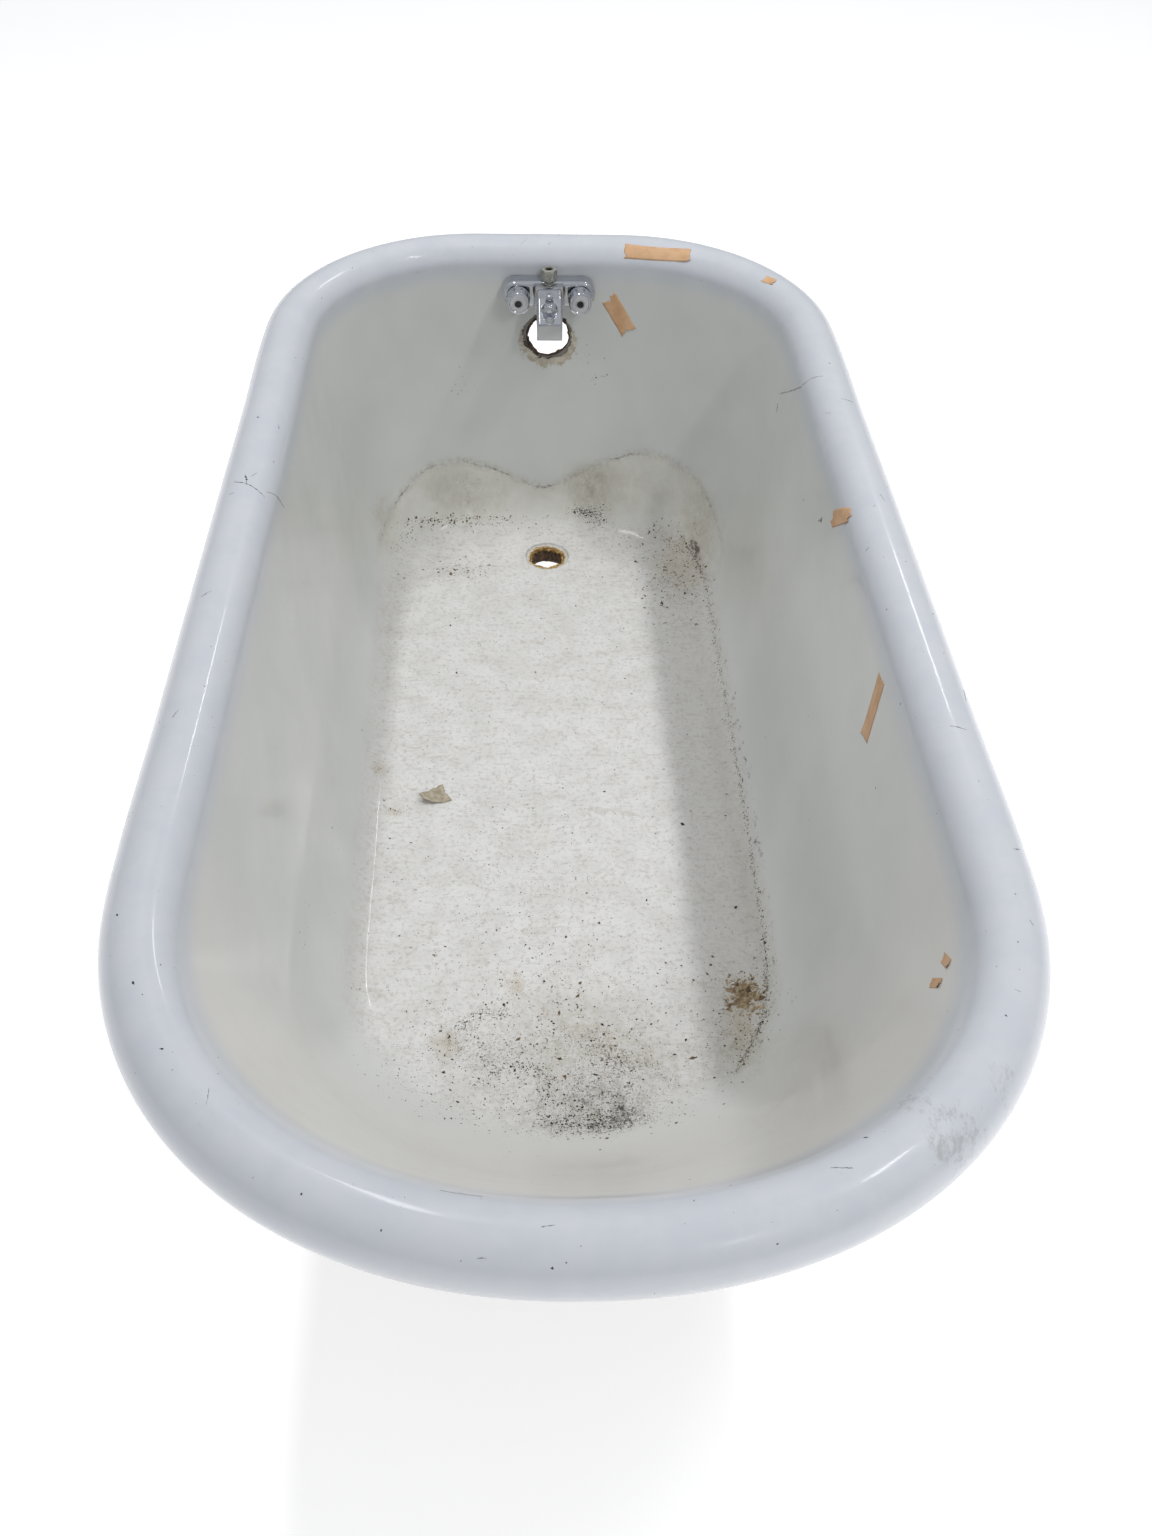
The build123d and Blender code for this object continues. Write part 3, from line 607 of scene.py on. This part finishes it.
enamel = enamel_material()
casting = casting_material()
foot_iron = foot_material()
chrome = metal_material("chrome_old", (0.62, 0.64, 0.68), (0.51, 0.53, 0.57), 0.06, 0.015)
nickel = metal_material("nickel_dull", (0.62, 0.6, 0.52), (0.42, 0.39, 0.31), 0.26, 0.25)
steel = metal_material("steel_zinc", (0.55, 0.56, 0.57), (0.36, 0.33, 0.3), 0.32, 0.3)
brass = metal_material("brass_old", (0.62, 0.46, 0.22), (0.36, 0.26, 0.13), 0.24, 0.2)
screw_black = plain_material("screw_dark", (0.03, 0.03, 0.032), (0.012, 0.012, 0.014), 0.35)
rubber = plain_material("rubber_black", (0.035, 0.034, 0.033), (0.015, 0.015, 0.015), 0.65)
ceramic = plain_material("ceramic_disc", (0.82, 0.81, 0.77), (0.72, 0.71, 0.67), 0.22)

FINISH = {
    "tub_casting": casting, "foot_bolts": steel, "foot_washers": steel,
    "faucet_body": chrome, "spout": chrome, "diverter_knob": chrome, "hot_knob": chrome,
    "cold_knob": chrome, "hot_knob_screw": screw_black, "cold_knob_screw": screw_black,
    "diverter_rod": steel, "diverter_gate": brass, "diverter_seal": rubber,
    "riser_connector": nickel, "riser_nut": nickel, "riser_ferrule": nickel,
    "shank_gaskets": rubber, "shank_washers": steel, "shank_locknuts": brass,
}
FINISH_BY_ENDING = {
    "_seat_seal": rubber, "_fixed_disc": ceramic, "_rotor_disc": ceramic, "_bonnet": brass,
    "_stem": brass, "_stem_oring": rubber, "_shank": brass,
}


def finish_of(name):
    """The material of a CAD node, or None for the lining, which has its own piece."""
    if name in FINISH:
        return FINISH[name]
    if name.startswith("foot_"):
        return foot_iron
    return next((m for ending, m in FINISH_BY_ENDING.items() if name.endswith(ending)), None)


for name, node in nodes.items():
    material = finish_of(name)
    if material:
        node.data.materials.clear()
        node.data.materials.append(material)


# ---- the enamel piece
def even_angles(count):
    return np.arange(count) * 2 * math.pi / count


def ragged_ring(rng, angles, waves, fall):
    """An uneven line round a ring, from 0 to 1, as a sum of waves that get smaller."""
    line = np.zeros(len(angles))
    for k in waves:
        line += rng.normal() / k ** fall * np.cos(k * angles + rng.uniform(0, 2 * math.pi))
    return ease((line - line.min()) / (line.max() - line.min()))


def tube_faces(rings, count):
    """Faces of a tube whose rings close on themselves."""
    for j in range(rings):
        for k in range(count):
            a, b = j * count + k, j * count + (k + 1) % count
            c, d = (j + 1) % rings * count + k, (j + 1) % rings * count + (k + 1) % count
            yield (a, b, d, c)


CUTTER_SIDES, CUTTER_REACH = 96, 0.012


def ragged_cutter(name, centre, axis, radius, chip, seed):
    """A prism with an uneven rim, to cut the enamel back round a hole."""
    count = CUTTER_SIDES
    angles = even_angles(count)
    edge = radius + chip * ragged_ring(np.random.default_rng(seed), angles, range(2, 22), 0.7)
    turn = axis.to_track_quat("Z", "Y").to_matrix()
    verts = [centre + turn @ Vector((r * math.cos(a), r * math.sin(a), h))
             for h in (-CUTTER_REACH, CUTTER_REACH) for r, a in zip(edge, angles)]
    faces = [(i, (i + 1) % count, (i + 1) % count + count, i + count) for i in range(count)]
    faces += [tuple(range(count))[::-1], tuple(range(count, 2 * count))]
    return new_object(name, new_mesh(name, verts, faces))


def cut(piece, cutters):
    """Applies the cutters to the piece and removes them."""
    for cutter in cutters:
        change = piece.modifiers.new("cut", "BOOLEAN")
        change.operation, change.solver, change.object = "DIFFERENCE", "EXACT", cutter
    bpy.context.view_layer.update()
    ready = piece.evaluated_get(bpy.context.evaluated_depsgraph_get())
    mesh = bpy.data.meshes.new_from_object(ready)
    piece.modifiers.clear()
    old, piece.data = piece.data, mesh
    bpy.data.meshes.remove(old)
    for cutter in cutters:
        bpy.data.objects.remove(cutter)


def put_marks(piece):
    """Stores the marks on the piece's vertices, for the enamel's material."""
    mesh = piece.data
    place = np.zeros(len(mesh.vertices) * 3)
    mesh.vertices.foreach_get("co", place)
    for name, values in mark_fields(place.reshape(-1, 3)).items():
        attribute = mesh.attributes.new(name, "FLOAT", "POINT")
        attribute.data.foreach_set("value", values.astype(np.float32))


UP = Vector((0.0, 0.0, 1.0))
SUPPLY_RADIUS = 0.0118
skin_points, skin_faces, wet_rows = enamel_mesh()
enamel_skin = make_piece("enamel_skin", skin_points, skin_faces, enamel)
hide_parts("enamel_lining")
supply_cuts = [ragged_cutter(f"hole_{k}", on_wall(side * HANDLE_SPACING / 2, 0, 0), WALL_OUT,
                             SUPPLY_RADIUS, 0.0006, 5 + k) for k, side in enumerate((-1, 1))]
overflow_cut = ragged_cutter("overflow_cut", OVERFLOW, WALL_OUT, OVERFLOW_RADIUS, 0.0055, 3)
drain_cut = ragged_cutter("drain_cut", DRAIN, UP, DRAIN_RECESS, 0.0, 4)
cut(enamel_skin, [overflow_cut, drain_cut, *supply_cuts])
put_marks(enamel_skin)


def revolved(name, centre, profile, material):
    """Rings about the vertical through centre; profile is a closed loop of radius and height."""
    count = 96
    points = [centre + Vector((radius * math.cos(a), radius * math.sin(a), height))
              for radius, height in profile for a in even_angles(count)]
    return make_piece(name, points, tube_faces(len(profile), count), material)


# the enamel's dished edge round the drain: radius and height, as a closed loop
drain_profile = ((0.0345, 0.0002), (0.0335, 0.0), (0.0328, -0.0006), (0.0324, -0.0018),
                 (0.0316, -0.0026), (0.03, -0.0029), (0.0276, -0.003), (0.0267, -0.0034),
                 (DRAIN_RADIUS, -0.0042), (0.0275, -0.0044), (0.032, -0.004),
                 (0.0338, -0.0026), (0.0345, -0.001))
drain_ring = revolved("enamel_drain_recess", DRAIN, drain_profile, enamel)
put_marks(drain_ring)


def ring_in_hole(name, centre, axis, radius, least, top, bottom, seed, material):
    """An uneven ring inside a hole: rust and old putty, and in the drain a dark sleeve of painted
    shade.
    """
    rng = np.random.default_rng(seed)
    count, rings = 120, 14
    angles = even_angles(count)
    reach = ragged_ring(rng, angles, range(1, 26), 0.75)
    turn = axis.to_track_quat("Z", "Y").to_matrix()
    points = []
    for j in range(rings):
        bend = 2 * math.pi * j / rings
        for angle, share in zip(angles, reach):
            half = (radius - mix(radius - 0.0008, least, share)) / 2
            r = radius - half + half * math.cos(bend) + rng.normal(0, 0.00025)
            h = (top + bottom) / 2 + (top - bottom) / 2 * math.sin(bend) + rng.normal(0, 0.0002)
            points.append(centre + turn @ Vector((r * math.cos(angle), r * math.sin(angle), h)))
    return make_piece(name, points, tube_faces(rings, count), material)


drain_putty = plain_material("putty_rusty", (0.58, 0.4, 0.13), (0.16, 0.07, 0.025), 0.85, 240.0)
# dark rust; the same material is the painted shade down the drain
hole_rust_and_shade = plain_material("rust_dark_and_shade", (0.15, 0.09, 0.05), (0.035, 0.025, 0.02), 0.85, 200.0)
# name, middle, axis, outer radius, least inner radius, top, bottom, seed, material
HOLE_RINGS = (
    ("drain_crust", DRAIN, UP, 0.0264, 0.0205, -0.0038, -0.0075, 31, drain_putty),
    # a dark sleeve down the drain, deeper than the iron: painted shade that keeps the view through
    # the hole dark
    ("drain_shade_sleeve", DRAIN, UP, 0.0262, 0.0228, -0.0065, -0.029, 33, hole_rust_and_shade),
    ("overflow_crust", OVERFLOW, WALL_OUT, 0.0316, 0.027, -0.0005, -0.005, 32, hole_rust_and_shade),
)
for crust in HOLE_RINGS:
    ring_in_hole(*crust)


# ---- tape, scratches and rubbish
WET_COUNT = len(skin_points) // 2
FACE = BVHTree.FromPolygons([Vector(p) for p in skin_points[:WET_COUNT]],
                            [face for face in skin_faces if max(face) < WET_COUNT])
FACE_SIGN = 1 if FACE.find_nearest(Vector((0.0, 0.1, FLOOR_Z)))[1].z > 0 else -1


def outward(place):
    """The nearest point of the wet face and the normal there, away from the iron."""
    spot, normal, _, _ = FACE.find_nearest(Vector(place))
    return spot, normal * FACE_SIGN


TAPE_THICKNESS, TAPE_SINK, TAPE_CURL = 0.00035, 0.0001, 0.0015
MARK_HEIGHT, MARK_SINK, MARK_STEP = 0.00025, 0.0001, 0.0015


def tape(name, centre, along, length, width, seed, rag):
    """A thin closed strip pressed on to the enamel, with torn ends and one corner a little up."""
    rng = np.random.default_rng(seed)
    spot, normal = outward(centre)
    along = Vector(along)
    along = (along - normal * along.dot(normal)).normalized()
    across = normal.cross(along)
    steps, rows = 36, 9
    tears = rng.normal(0, rag, (2, rows)) * (0.4 + rng.random((2, rows)))
    nicks = rng.normal(0, 0.018, (2, steps + 1))
    top, under = [], []
    for k in range(steps + 1):
        t = k / steps
        for j in range(rows):
            v = j / (rows - 1)
            reach = mix(-0.5 + tears[0, j] * 0.4, 0.5 + tears[1, j] * 0.4, t)
            side = (v - 0.5) * (1 + nicks[0 if v < 0.5 else 1, k])
            place = spot + along * (reach * length) + across * (side * width)
            found, hit_normal = outward(place)
            curl = TAPE_CURL * max(0.0, t - 0.82) / 0.18 * (1 - v)
            top.append(found + hit_normal * (TAPE_THICKNESS + curl))
            under.append(found + hit_normal * (curl - TAPE_SINK))
    count = len(top)
    faces = []
    for k in range(steps):
        for j in range(rows - 1):
            face = (k * rows + j, (k + 1) * rows + j, (k + 1) * rows + j + 1, k * rows + j + 1)
            faces += [face, tuple(count + i for i in face[::-1])]
    border = [k * rows for k in range(steps)] + [steps * rows + j for j in range(rows - 1)]
    border += [k * rows + rows - 1 for k in range(steps, 0, -1)] + list(range(rows - 1, 0, -1))
    for a, b in zip(border, border[1:] + border[:1]):
        faces.append((b, a, a + count, b + count))
    return make_piece(name, top + under, faces, tape_paper)


def slivers(name, strokes, material):
    """Thin uneven raised marks on the enamel; a stroke is a path, a width and a seed."""
    points, faces = [], []
    for path, width, seed in strokes:
        rng = np.random.default_rng(seed)
        path = [Vector(p) for p in path]
        line = []
        for a, b in zip(path[:-1], path[1:]):
            count = max(2, int((b - a).length / MARK_STEP))
            line += [a.lerp(b, k / count) for k in range(count)]
        wander = np.cumsum(rng.normal(0, 0.00018, (len(line), 3)), 0)
        start, last = len(points), len(points) + 3 * len(line) - 3
        for k, place in enumerate(line):
            spot, normal = outward(place + Vector(wander[k]))
            ahead = (line[min(k + 1, len(line) - 1)] - line[max(k - 1, 0)]).normalized()
            side = normal.cross(ahead).normalized()
            ends = math.sin(math.pi * (k + 0.5) / len(line)) ** 0.5
            half = 0.5 * width * ends * max(0.1, rng.normal(0.8, 0.5))
            foot = spot - normal * MARK_SINK
            points += [foot + side * half, foot - side * half, spot + normal * MARK_HEIGHT]
        for a in range(start, last, 3):
            b = a + 3
            faces += [(b, b + 1, a + 1, a), (b + 1, b + 2, a + 2, a + 1), (b + 2, b, a, a + 2)]
        faces += [(start, start + 1, start + 2), (last, last + 2, last + 1)]
    return make_piece(name, points, faces, material)


def tape_material():
    s = Shader("masking_tape", IOR=1.45)
    crepe = s.stretched((900.0,) * 3, 4.0, 0.6)
    cloud = s.noise(45.0, 4.0)
    s.color = s.mottle(cloud, (0.58, 0.34, 0.18), (0.67, 0.43, 0.255))
    s.over(s.step(crepe, 0.5, 0.8, 0.0, 0.35), (0.46, 0.25, 0.12))
    return s.finish(0.55, s.bump(crepe, 0.00025))


tape_paper = tape_material()
mark_black = plain_material("mark_black", (0.09, 0.085, 0.08), (0.03, 0.028, 0.026), 0.5)
mark_grey = plain_material("mark_grey", (0.28, 0.29, 0.3), (0.16, 0.16, 0.165), 0.5)

# name, middle, direction, length, width, seed
TAPES = (
    ("tape_tap_rim", (0.15, 0.698, 0.592), (1.0, -0.16, 0.0), 0.092, 0.019, 11),
    ("tape_end_wall", (0.101, 0.694, 0.502), (0.53, 0.0, -0.85), 0.056, 0.023, 12),
    ("tape_corner_bit", (0.294, 0.606, 0.598), (0.7, -0.7, 0.0), 0.018, 0.012, 13),
    ("tape_torn", (0.311, 0.106, 0.5675), (0.24, -0.74, 0.63), 0.052, 0.019, 14),
    ("tape_side", (0.3064, -0.15, 0.5175), (-0.11, -0.2, -0.97), 0.068, 0.021, 15),
    ("tape_scrap_upper", (0.302, -0.474, 0.536), (0.0, -0.8, 0.6), 0.019, 0.009, 16),
    ("tape_scrap_lower", (0.2955, -0.486, 0.521), (0.1, -0.6, 0.8), 0.022, 0.009, 17),
)
LONG_TAPE = 0.06
for name, centre, along, length, width, seed in TAPES:
    tape(name, centre, along, length, width, seed, 0.1 if length < LONG_TAPE else 0.04)

# scratches and scrapes: path, width, seed
BLACK_SCRATCHES = (
    (((-0.352, 0.125, 0.6), (-0.333, 0.118, 0.6), (-0.316, 0.108, 0.59)), 0.0018, 21),
    (((-0.34, 0.136, 0.6), (-0.336, 0.12, 0.6)), 0.0022, 22),
    (((-0.316, 0.12, 0.59), (-0.306, 0.15, 0.55)), 0.0015, 23),
)
GREY_SCRATCHES = (
    (((0.298, 0.468, 0.507), (0.301, 0.425, 0.54), (0.305, 0.381, 0.571),
      (0.329, 0.359, 0.599)), 0.0022, 24),
    (((0.297, 0.457, 0.487), (0.298, 0.462, 0.5)), 0.005, 25),
    (((0.303, 0.17, 0.517), (0.303, 0.158, 0.528)), 0.006, 26),
    (((0.16, -0.69, 0.6), (0.178, -0.692, 0.6)), 0.0012, 27),
    (((-0.1, -0.69, 0.6), (-0.07, -0.694, 0.6)), 0.0009, 28),
)


def rim_strokes(count, seed):
    """Short fine marks here and there along the top of the rim."""
    rng = np.random.default_rng(seed)
    ring = wet_rows[ROLL_ROW + 4:ROLL_ROW + FLANK_STEPS + 12].reshape(-1, 3)
    strokes = []
    for k in range(count):
        start = Vector(ring[rng.integers(0, len(ring))])
        turn = rng.uniform(0, math.pi)
        step = Vector((math.cos(turn), math.sin(turn), 0.0)) * rng.uniform(0.005, 0.02)
        strokes.append(((start, start + step), rng.uniform(0.0006, 0.0016), seed + k))
    return strokes


slivers("scratches_black", BLACK_SCRATCHES, mark_black)
slivers("scratches_grey", [*GREY_SCRATCHES, *rim_strokes(26, 200)], mark_grey)


def crumbs(name, spots, sizes, material, seed, thick=0.35):
    """Irregular six-cornered grains lying on the enamel, as one mesh."""
    rng = np.random.default_rng(seed)
    corners = np.array([(1, 0, 0), (-1, 0, 0), (0, 1, 0), (0, -1, 0), (0, 0, 1), (0, 0, -1)])
    sides = [(0, 2, 4), (2, 1, 4), (1, 3, 4), (3, 0, 4), (2, 0, 5), (1, 2, 5), (3, 1, 5), (0, 3, 5)]
    points, faces = [], []
    for k, (place, size) in enumerate(zip(spots, sizes)):
        spot, normal = outward(place)
        turn = normal.to_track_quat("Z", "X").to_matrix() @ Matrix.Rotation(
            rng.uniform(0, 2 * math.pi), 3, "Z")
        shape = corners * rng.uniform(0.45, 1.25, (6, 1)) * (1.0, rng.uniform(0.3, 0.9), thick)
        shape = shape + rng.normal(0, 0.18, (6, 3)) * (1.0, 1.0, thick)
        points += [spot + turn @ Vector(p) * (size / 2) for p in shape]
        faces += [tuple(6 * k + i for i in side) for side in sides]
    return make_piece(name, points, faces, material, smooth=False)


def at_floor(x, y):
    return np.column_stack([x, y, np.full(len(x), FLOOR_Z)])


def heap(rng, x, y, wide, long, count):
    """Places scattered round a middle in plan, at floor height."""
    return at_floor(rng.normal(x, wide, count), rng.normal(y, long, count))


def trail(rng, path, spread, count):
    """Places scattered along a broken line in plan."""
    path = np.array(path)
    share = rng.uniform(0, len(path) - 1, count)
    part = np.minimum(share.astype(int), len(path) - 2)
    along = mix(path[part], path[part + 1], (share - part)[:, None])
    along = along + rng.normal(0, spread, along.shape)
    return at_floor(*along.T)


def grain_sizes(rng, count, middle, most):
    return np.minimum(rng.lognormal(math.log(middle), 0.5, count), most)


# grains for a stroke of amount 1, per metre of its width
GRIT_ON_STROKE = 36000
# heaps of grains on the bottom: x, y, width, length, count
BLACK_HEAPS = (
    (0.01, -0.388, 0.042, 0.022, 700), (-0.02, -0.345, 0.075, 0.036, 800),
    (0.03, -0.28, 0.09, 0.07, 600), (-0.09, -0.3, 0.05, 0.04, 300),
    (-0.02, -0.14, 0.08, 0.11, 420), (0.02, -0.408, 0.024, 0.012, 300),
    (0.205, 0.53, 0.026, 0.05, 110), (0.075, 0.69, 0.016, 0.026, 200),
    (-0.14, 0.662, 0.07, 0.012, 260), (-0.245, 0.615, 0.014, 0.025, 130),
    (0.13, 0.6, 0.06, 0.05, 90), (-0.14, 0.545, 0.03, 0.014, 150),
    (0.195, -0.31, 0.022, 0.04, 90), (0.2, -0.25, 0.04, 0.03, 90),
)
BROWN_HEAPS = (
    (0.0, -0.3, 0.1, 0.06, 700), (0.205, -0.262, 0.022, 0.034, 500),
    (-0.01, -0.02, 0.05, 0.11, 260), (-0.14, 0.665, 0.08, 0.016, 160),
    (-0.13, -0.3, 0.008, 0.012, 70), (-0.108, -0.276, 0.006, 0.006, 30),
    (-0.053, -0.224, 0.006, 0.012, 40), (-0.018, -0.16, 0.008, 0.012, 30),
    (-0.228, 0.12, 0.007, 0.006, 40), (-0.204, 0.045, 0.006, 0.004, 30),
    (0.195, 0.54, 0.032, 0.055, 520),
)
FLECK_HEAPS = (
    (0.19, 0.52, 0.03, 0.055, 200), (-0.14, 0.665, 0.075, 0.014, 70),
    (-0.14, 0.545, 0.03, 0.014, 40), (0.02, -0.33, 0.1, 0.06, 70),
)
# specks on the walls: middle, reach, count
WALL_HEAPS = (
    ((-0.121, 0.69, 0.4), 0.012, 24), ((0.05, 0.69, 0.43), 0.012, 18),
    ((0.07, 0.69, 0.4), 0.009, 18), ((-0.3, 0.1, 0.35), 0.16, 50),
    ((0.3, -0.1, 0.35), 0.16, 40), ((0.0, -0.6, 0.4), 0.15, 40),
    ((-0.27, -0.2, 0.25), 0.05, 30), ((-0.25, -0.05, 0.22), 0.02, 22),
)
LOOSE_BITS = (
    (-0.132, 0.31), (0.211, -0.116), (0.121, -0.319), (0.135, -0.3), (-0.13, -0.315),
    (-0.125, -0.292), (0.16, 0.02), (-0.02, -0.22),
)
EVEN_BLACK, EVEN_BROWN, PIT_COUNT = 1300, 900, 170


def lay_grit():
    """Pepper, chips and rubbish on the bottom, denser at the near end."""
    rng = np.random.default_rng(71)
    total = EVEN_BLACK + EVEN_BROWN
    even = at_floor(rng.uniform(-0.23, 0.23, total), mix(0.62, -0.44, rng.random(total) ** 0.7))
    black = [even[:EVEN_BLACK]] + [heap(rng, *spot) for spot in BLACK_HEAPS]
    brown = [even[EVEN_BLACK:]] + [heap(rng, *spot) for spot in BROWN_HEAPS]
    for path, width, amount in GRIME_STROKES:
        count = int(GRIT_ON_STROKE * amount * width)
        black.append(trail(rng, path, width * 0.55, count))
        brown.append(trail(rng, path, width * 0.75, count // 2))
    black.append(trail(rng, DIRT_LINE, 0.002, 800))
    brown.append(trail(rng, DIRT_LINE, 0.004, 1500))
    black, brown = np.concatenate(black), np.concatenate(brown)
    crumbs("grit_black", black, grain_sizes(rng, len(black), 0.0013, 0.0048), grit_black, 72)
    crumbs("grit_brown", brown, grain_sizes(rng, len(brown), 0.0013, 0.0048), grit_brown, 73)
    flecks = np.concatenate([heap(rng, *spot) for spot in FLECK_HEAPS])
    crumbs("flecks", flecks, grain_sizes(rng, len(flecks), 0.0036, 0.008), grit_brown, 79, 0.12)
    lump = heap(rng, 0.2075, -0.242, 0.0095, 0.0105, 260)
    crumbs("rubbish_tan", lump, grain_sizes(rng, len(lump), 0.0055, 0.014), grit_tan, 74, 0.55)
    bits = heap(rng, 0.214, -0.24, 0.009, 0.01, 14)
    crumbs("rubbish_dark", bits, grain_sizes(rng, len(bits), 0.0062, 0.012), grit_brown, 75, 0.8)
    loose = at_floor(*np.array(LOOSE_BITS).T)
    crumbs("rubbish_loose", loose, np.full(len(loose), 0.0062), grit_black, 76, 0.8)
    wall = np.concatenate([rng.normal(centre, reach, (count, 3))
                           for centre, reach, count in WALL_HEAPS])
    crumbs("wall_specks", wall, grain_sizes(rng, len(wall), 0.0013, 0.0035), grit_black, 77, 0.2)
    ring = wet_rows[ROLL_ROW:ROLL_ROW + FLANK_STEPS + OUTER_STEPS // 2].reshape(-1, 3)
    picks = ring[rng.integers(0, len(ring), PIT_COUNT)]
    crumbs("rim_pits", picks, grain_sizes(rng, PIT_COUNT, 0.0014, 0.0045), mark_black, 78, 0.1)


FLAKE_TURN, FLAKE_RISE, FLAKE_THICKNESS, FLAKE_GAP = 0.42, 0.014, 0.0008, 0.0003


def chip_piece(name, centre, radius, seed, material):
    """A thin curled flake of paint."""
    rng = np.random.default_rng(seed)
    spot, normal = outward(centre)
    turn = normal.to_track_quat("Z", "X").to_matrix()
    count, rings = 22, 5
    angles = even_angles(count)
    corner = (angles - FLAKE_TURN) % (2 * math.pi / 3) - math.pi / 3
    edge = 0.55 / np.cos(corner) * (1 + 0.35 * np.cos(angles - FLAKE_TURN))
    edge = radius * (edge + rng.normal(0, 0.04, count))
    points, faces = [], []
    for side in (1, 0):
        for ring in range(1, rings + 1):
            for angle, reach in zip(angles, edge * ring / rings):
                x, y = reach * math.cos(angle), reach * math.sin(angle)
                ahead = x * math.cos(FLAKE_TURN) + y * math.sin(FLAKE_TURN)
                curl = FLAKE_RISE * max(0.0, ahead / (1.4 * radius)) ** 2
                lift = FLAKE_THICKNESS * side + curl + FLAKE_GAP
                points.append(spot + turn @ Vector((x, y, lift)))
    for side in (0, 1):
        start = side * count * rings
        order = 1 if side == 0 else -1
        faces.append(tuple(start + k for k in range(count))[::order])
        for ring in range(rings - 1):
            for k in range(count):
                a, b = start + ring * count + k, start + ring * count + (k + 1) % count
                faces.append((a, a + count, b + count, b)[::order])
    top, bottom = (rings - 1) * count, (2 * rings - 1) * count
    for k in range(count):
        after = (k + 1) % count
        faces.append((top + k, bottom + k, bottom + after, top + after))
    return make_piece(name, points, faces, material)


grit_black = plain_material("grit_black", (0.055, 0.05, 0.045), (0.02, 0.018, 0.016), 0.75)
grit_brown = plain_material("grit_brown", (0.2, 0.14, 0.08), (0.09, 0.06, 0.035), 0.8)
grit_tan = plain_material("grit_tan", (0.5, 0.4, 0.26), (0.24, 0.17, 0.1), 0.8)
flake_tan = plain_material("flake_tan", (0.47, 0.42, 0.32), (0.3, 0.26, 0.19), 0.7)
lay_grit()
chip_piece("paint_flake", (-0.148, 0.074, FLOOR_Z), 0.022, 81, flake_tan)


# ---- stage, lights and camera
FLOOR_REACH, LIGHT_WIDTH, LIGHT_HEIGHT = 30, 0.12, 2.85


def stage_floor():
    s = Shader("pale_floor")
    grain = s.noise(6.0, 6.0, 0.6)
    s.put(s.surface.inputs["Emission Strength"], 0.45)
    s.put(s.surface.inputs["Emission Color"], (1.0, 1.0, 1.0))
    s.color = s.blend(grain, (0.9,) * 3, (0.93,) * 3)
    material = s.finish(0.8)
    corners = [(x * FLOOR_REACH, y * FLOOR_REACH, 0)
               for x, y in ((-1, -1), (1, -1), (1, 1), (-1, 1))]
    mesh = new_mesh("stage_floor", corners, [(0, 1, 2, 3)])
    mesh.materials.append(material)
    new_object("stage_floor", mesh)


def long_light(name, x, y, length, power, mirrored):
    """A strip light over the tub, pointing straight down, its length along Y."""
    data = bpy.data.lights.new(name, "AREA")
    data.shape, data.size, data.size_y = "RECTANGLE", LIGHT_WIDTH, length
    data.energy = power
    light = new_object(name, data)
    light.location = (x, y, LIGHT_HEIGHT)
    light.visible_glossy = mirrored


def sky():
    """A soft grey dome, lighter overhead."""
    world = bpy.data.worlds.new("studio")
    bpy.context.scene.world = world
    world.use_nodes = True
    tree = world.node_tree
    place = tree.nodes.new("ShaderNodeTexCoord")
    parts = tree.nodes.new("ShaderNodeSeparateXYZ")
    shade = tree.nodes.new("ShaderNodeValToRGB")
    tree.links.new(place.outputs["Generated"], parts.inputs[0])
    tree.links.new(parts.outputs["Z"], shade.inputs[0])
    tree.links.new(shade.outputs[0], tree.nodes["Background"].inputs["Color"])
    tree.nodes["Background"].inputs["Strength"].default_value = 0.53
    shade.color_ramp.elements[0].color = (0.6, 0.61, 0.63, 1.0)
    shade.color_ramp.elements[1].color = (0.95, 0.97, 1.0, 1.0)


stage_floor()
sky()
# two rows of ceiling lights; the three strong ones are left out of reflections
# name, x, y, length, power, whether it shows in reflections
LIGHTS = (
    ("light_left", -0.79, 0.75, 0.9, 20, False), ("light_right", 1.19, 0.3, 1.6, 21, False),
    ("light_left_row", -0.3, 0.75, 0.8, 3, True), ("light_right_row", 1.3, -0.4, 0.5, 3, True),
    ("light_behind", 1.2, -2.6, 1.2, 30, False), ("light_near_row", 1.2, -2.6, 0.7, 4, True),
    ("light_far_row", 1.1, 2.5, 0.9, 6, True),
)
for strip_light in LIGHTS:
    long_light(*strip_light)

CAMERA_PLACE = Vector((-0.04937, -1.13951, 1.44185))
CAMERA_YAW, CAMERA_PITCH, CAMERA_ROLL, CAMERA_LENS = 0.0617, 0.7928, 0.03714, 32.107


def make_camera():
    """The camera, aimed by its yaw, pitch and roll."""
    data = bpy.data.cameras.new("camera")
    data.lens = CAMERA_LENS
    data.sensor_width = 36.0
    ahead = Vector((math.sin(CAMERA_YAW) * math.cos(CAMERA_PITCH),
                    math.cos(CAMERA_YAW) * math.cos(CAMERA_PITCH), -math.sin(CAMERA_PITCH)))
    side = Vector((math.cos(CAMERA_YAW), -math.sin(CAMERA_YAW), 0.0))
    above = side.cross(ahead)
    right = side * math.cos(CAMERA_ROLL) + above * math.sin(CAMERA_ROLL)
    up = above * math.cos(CAMERA_ROLL) - side * math.sin(CAMERA_ROLL)
    camera = new_object("camera", data)
    turn = Matrix((right, up, -ahead)).transposed().to_4x4()
    camera.matrix_world = Matrix.Translation(CAMERA_PLACE) @ turn
    bpy.context.scene.camera = camera


make_camera()
bpy.context.scene.view_settings.view_transform = "Standard"
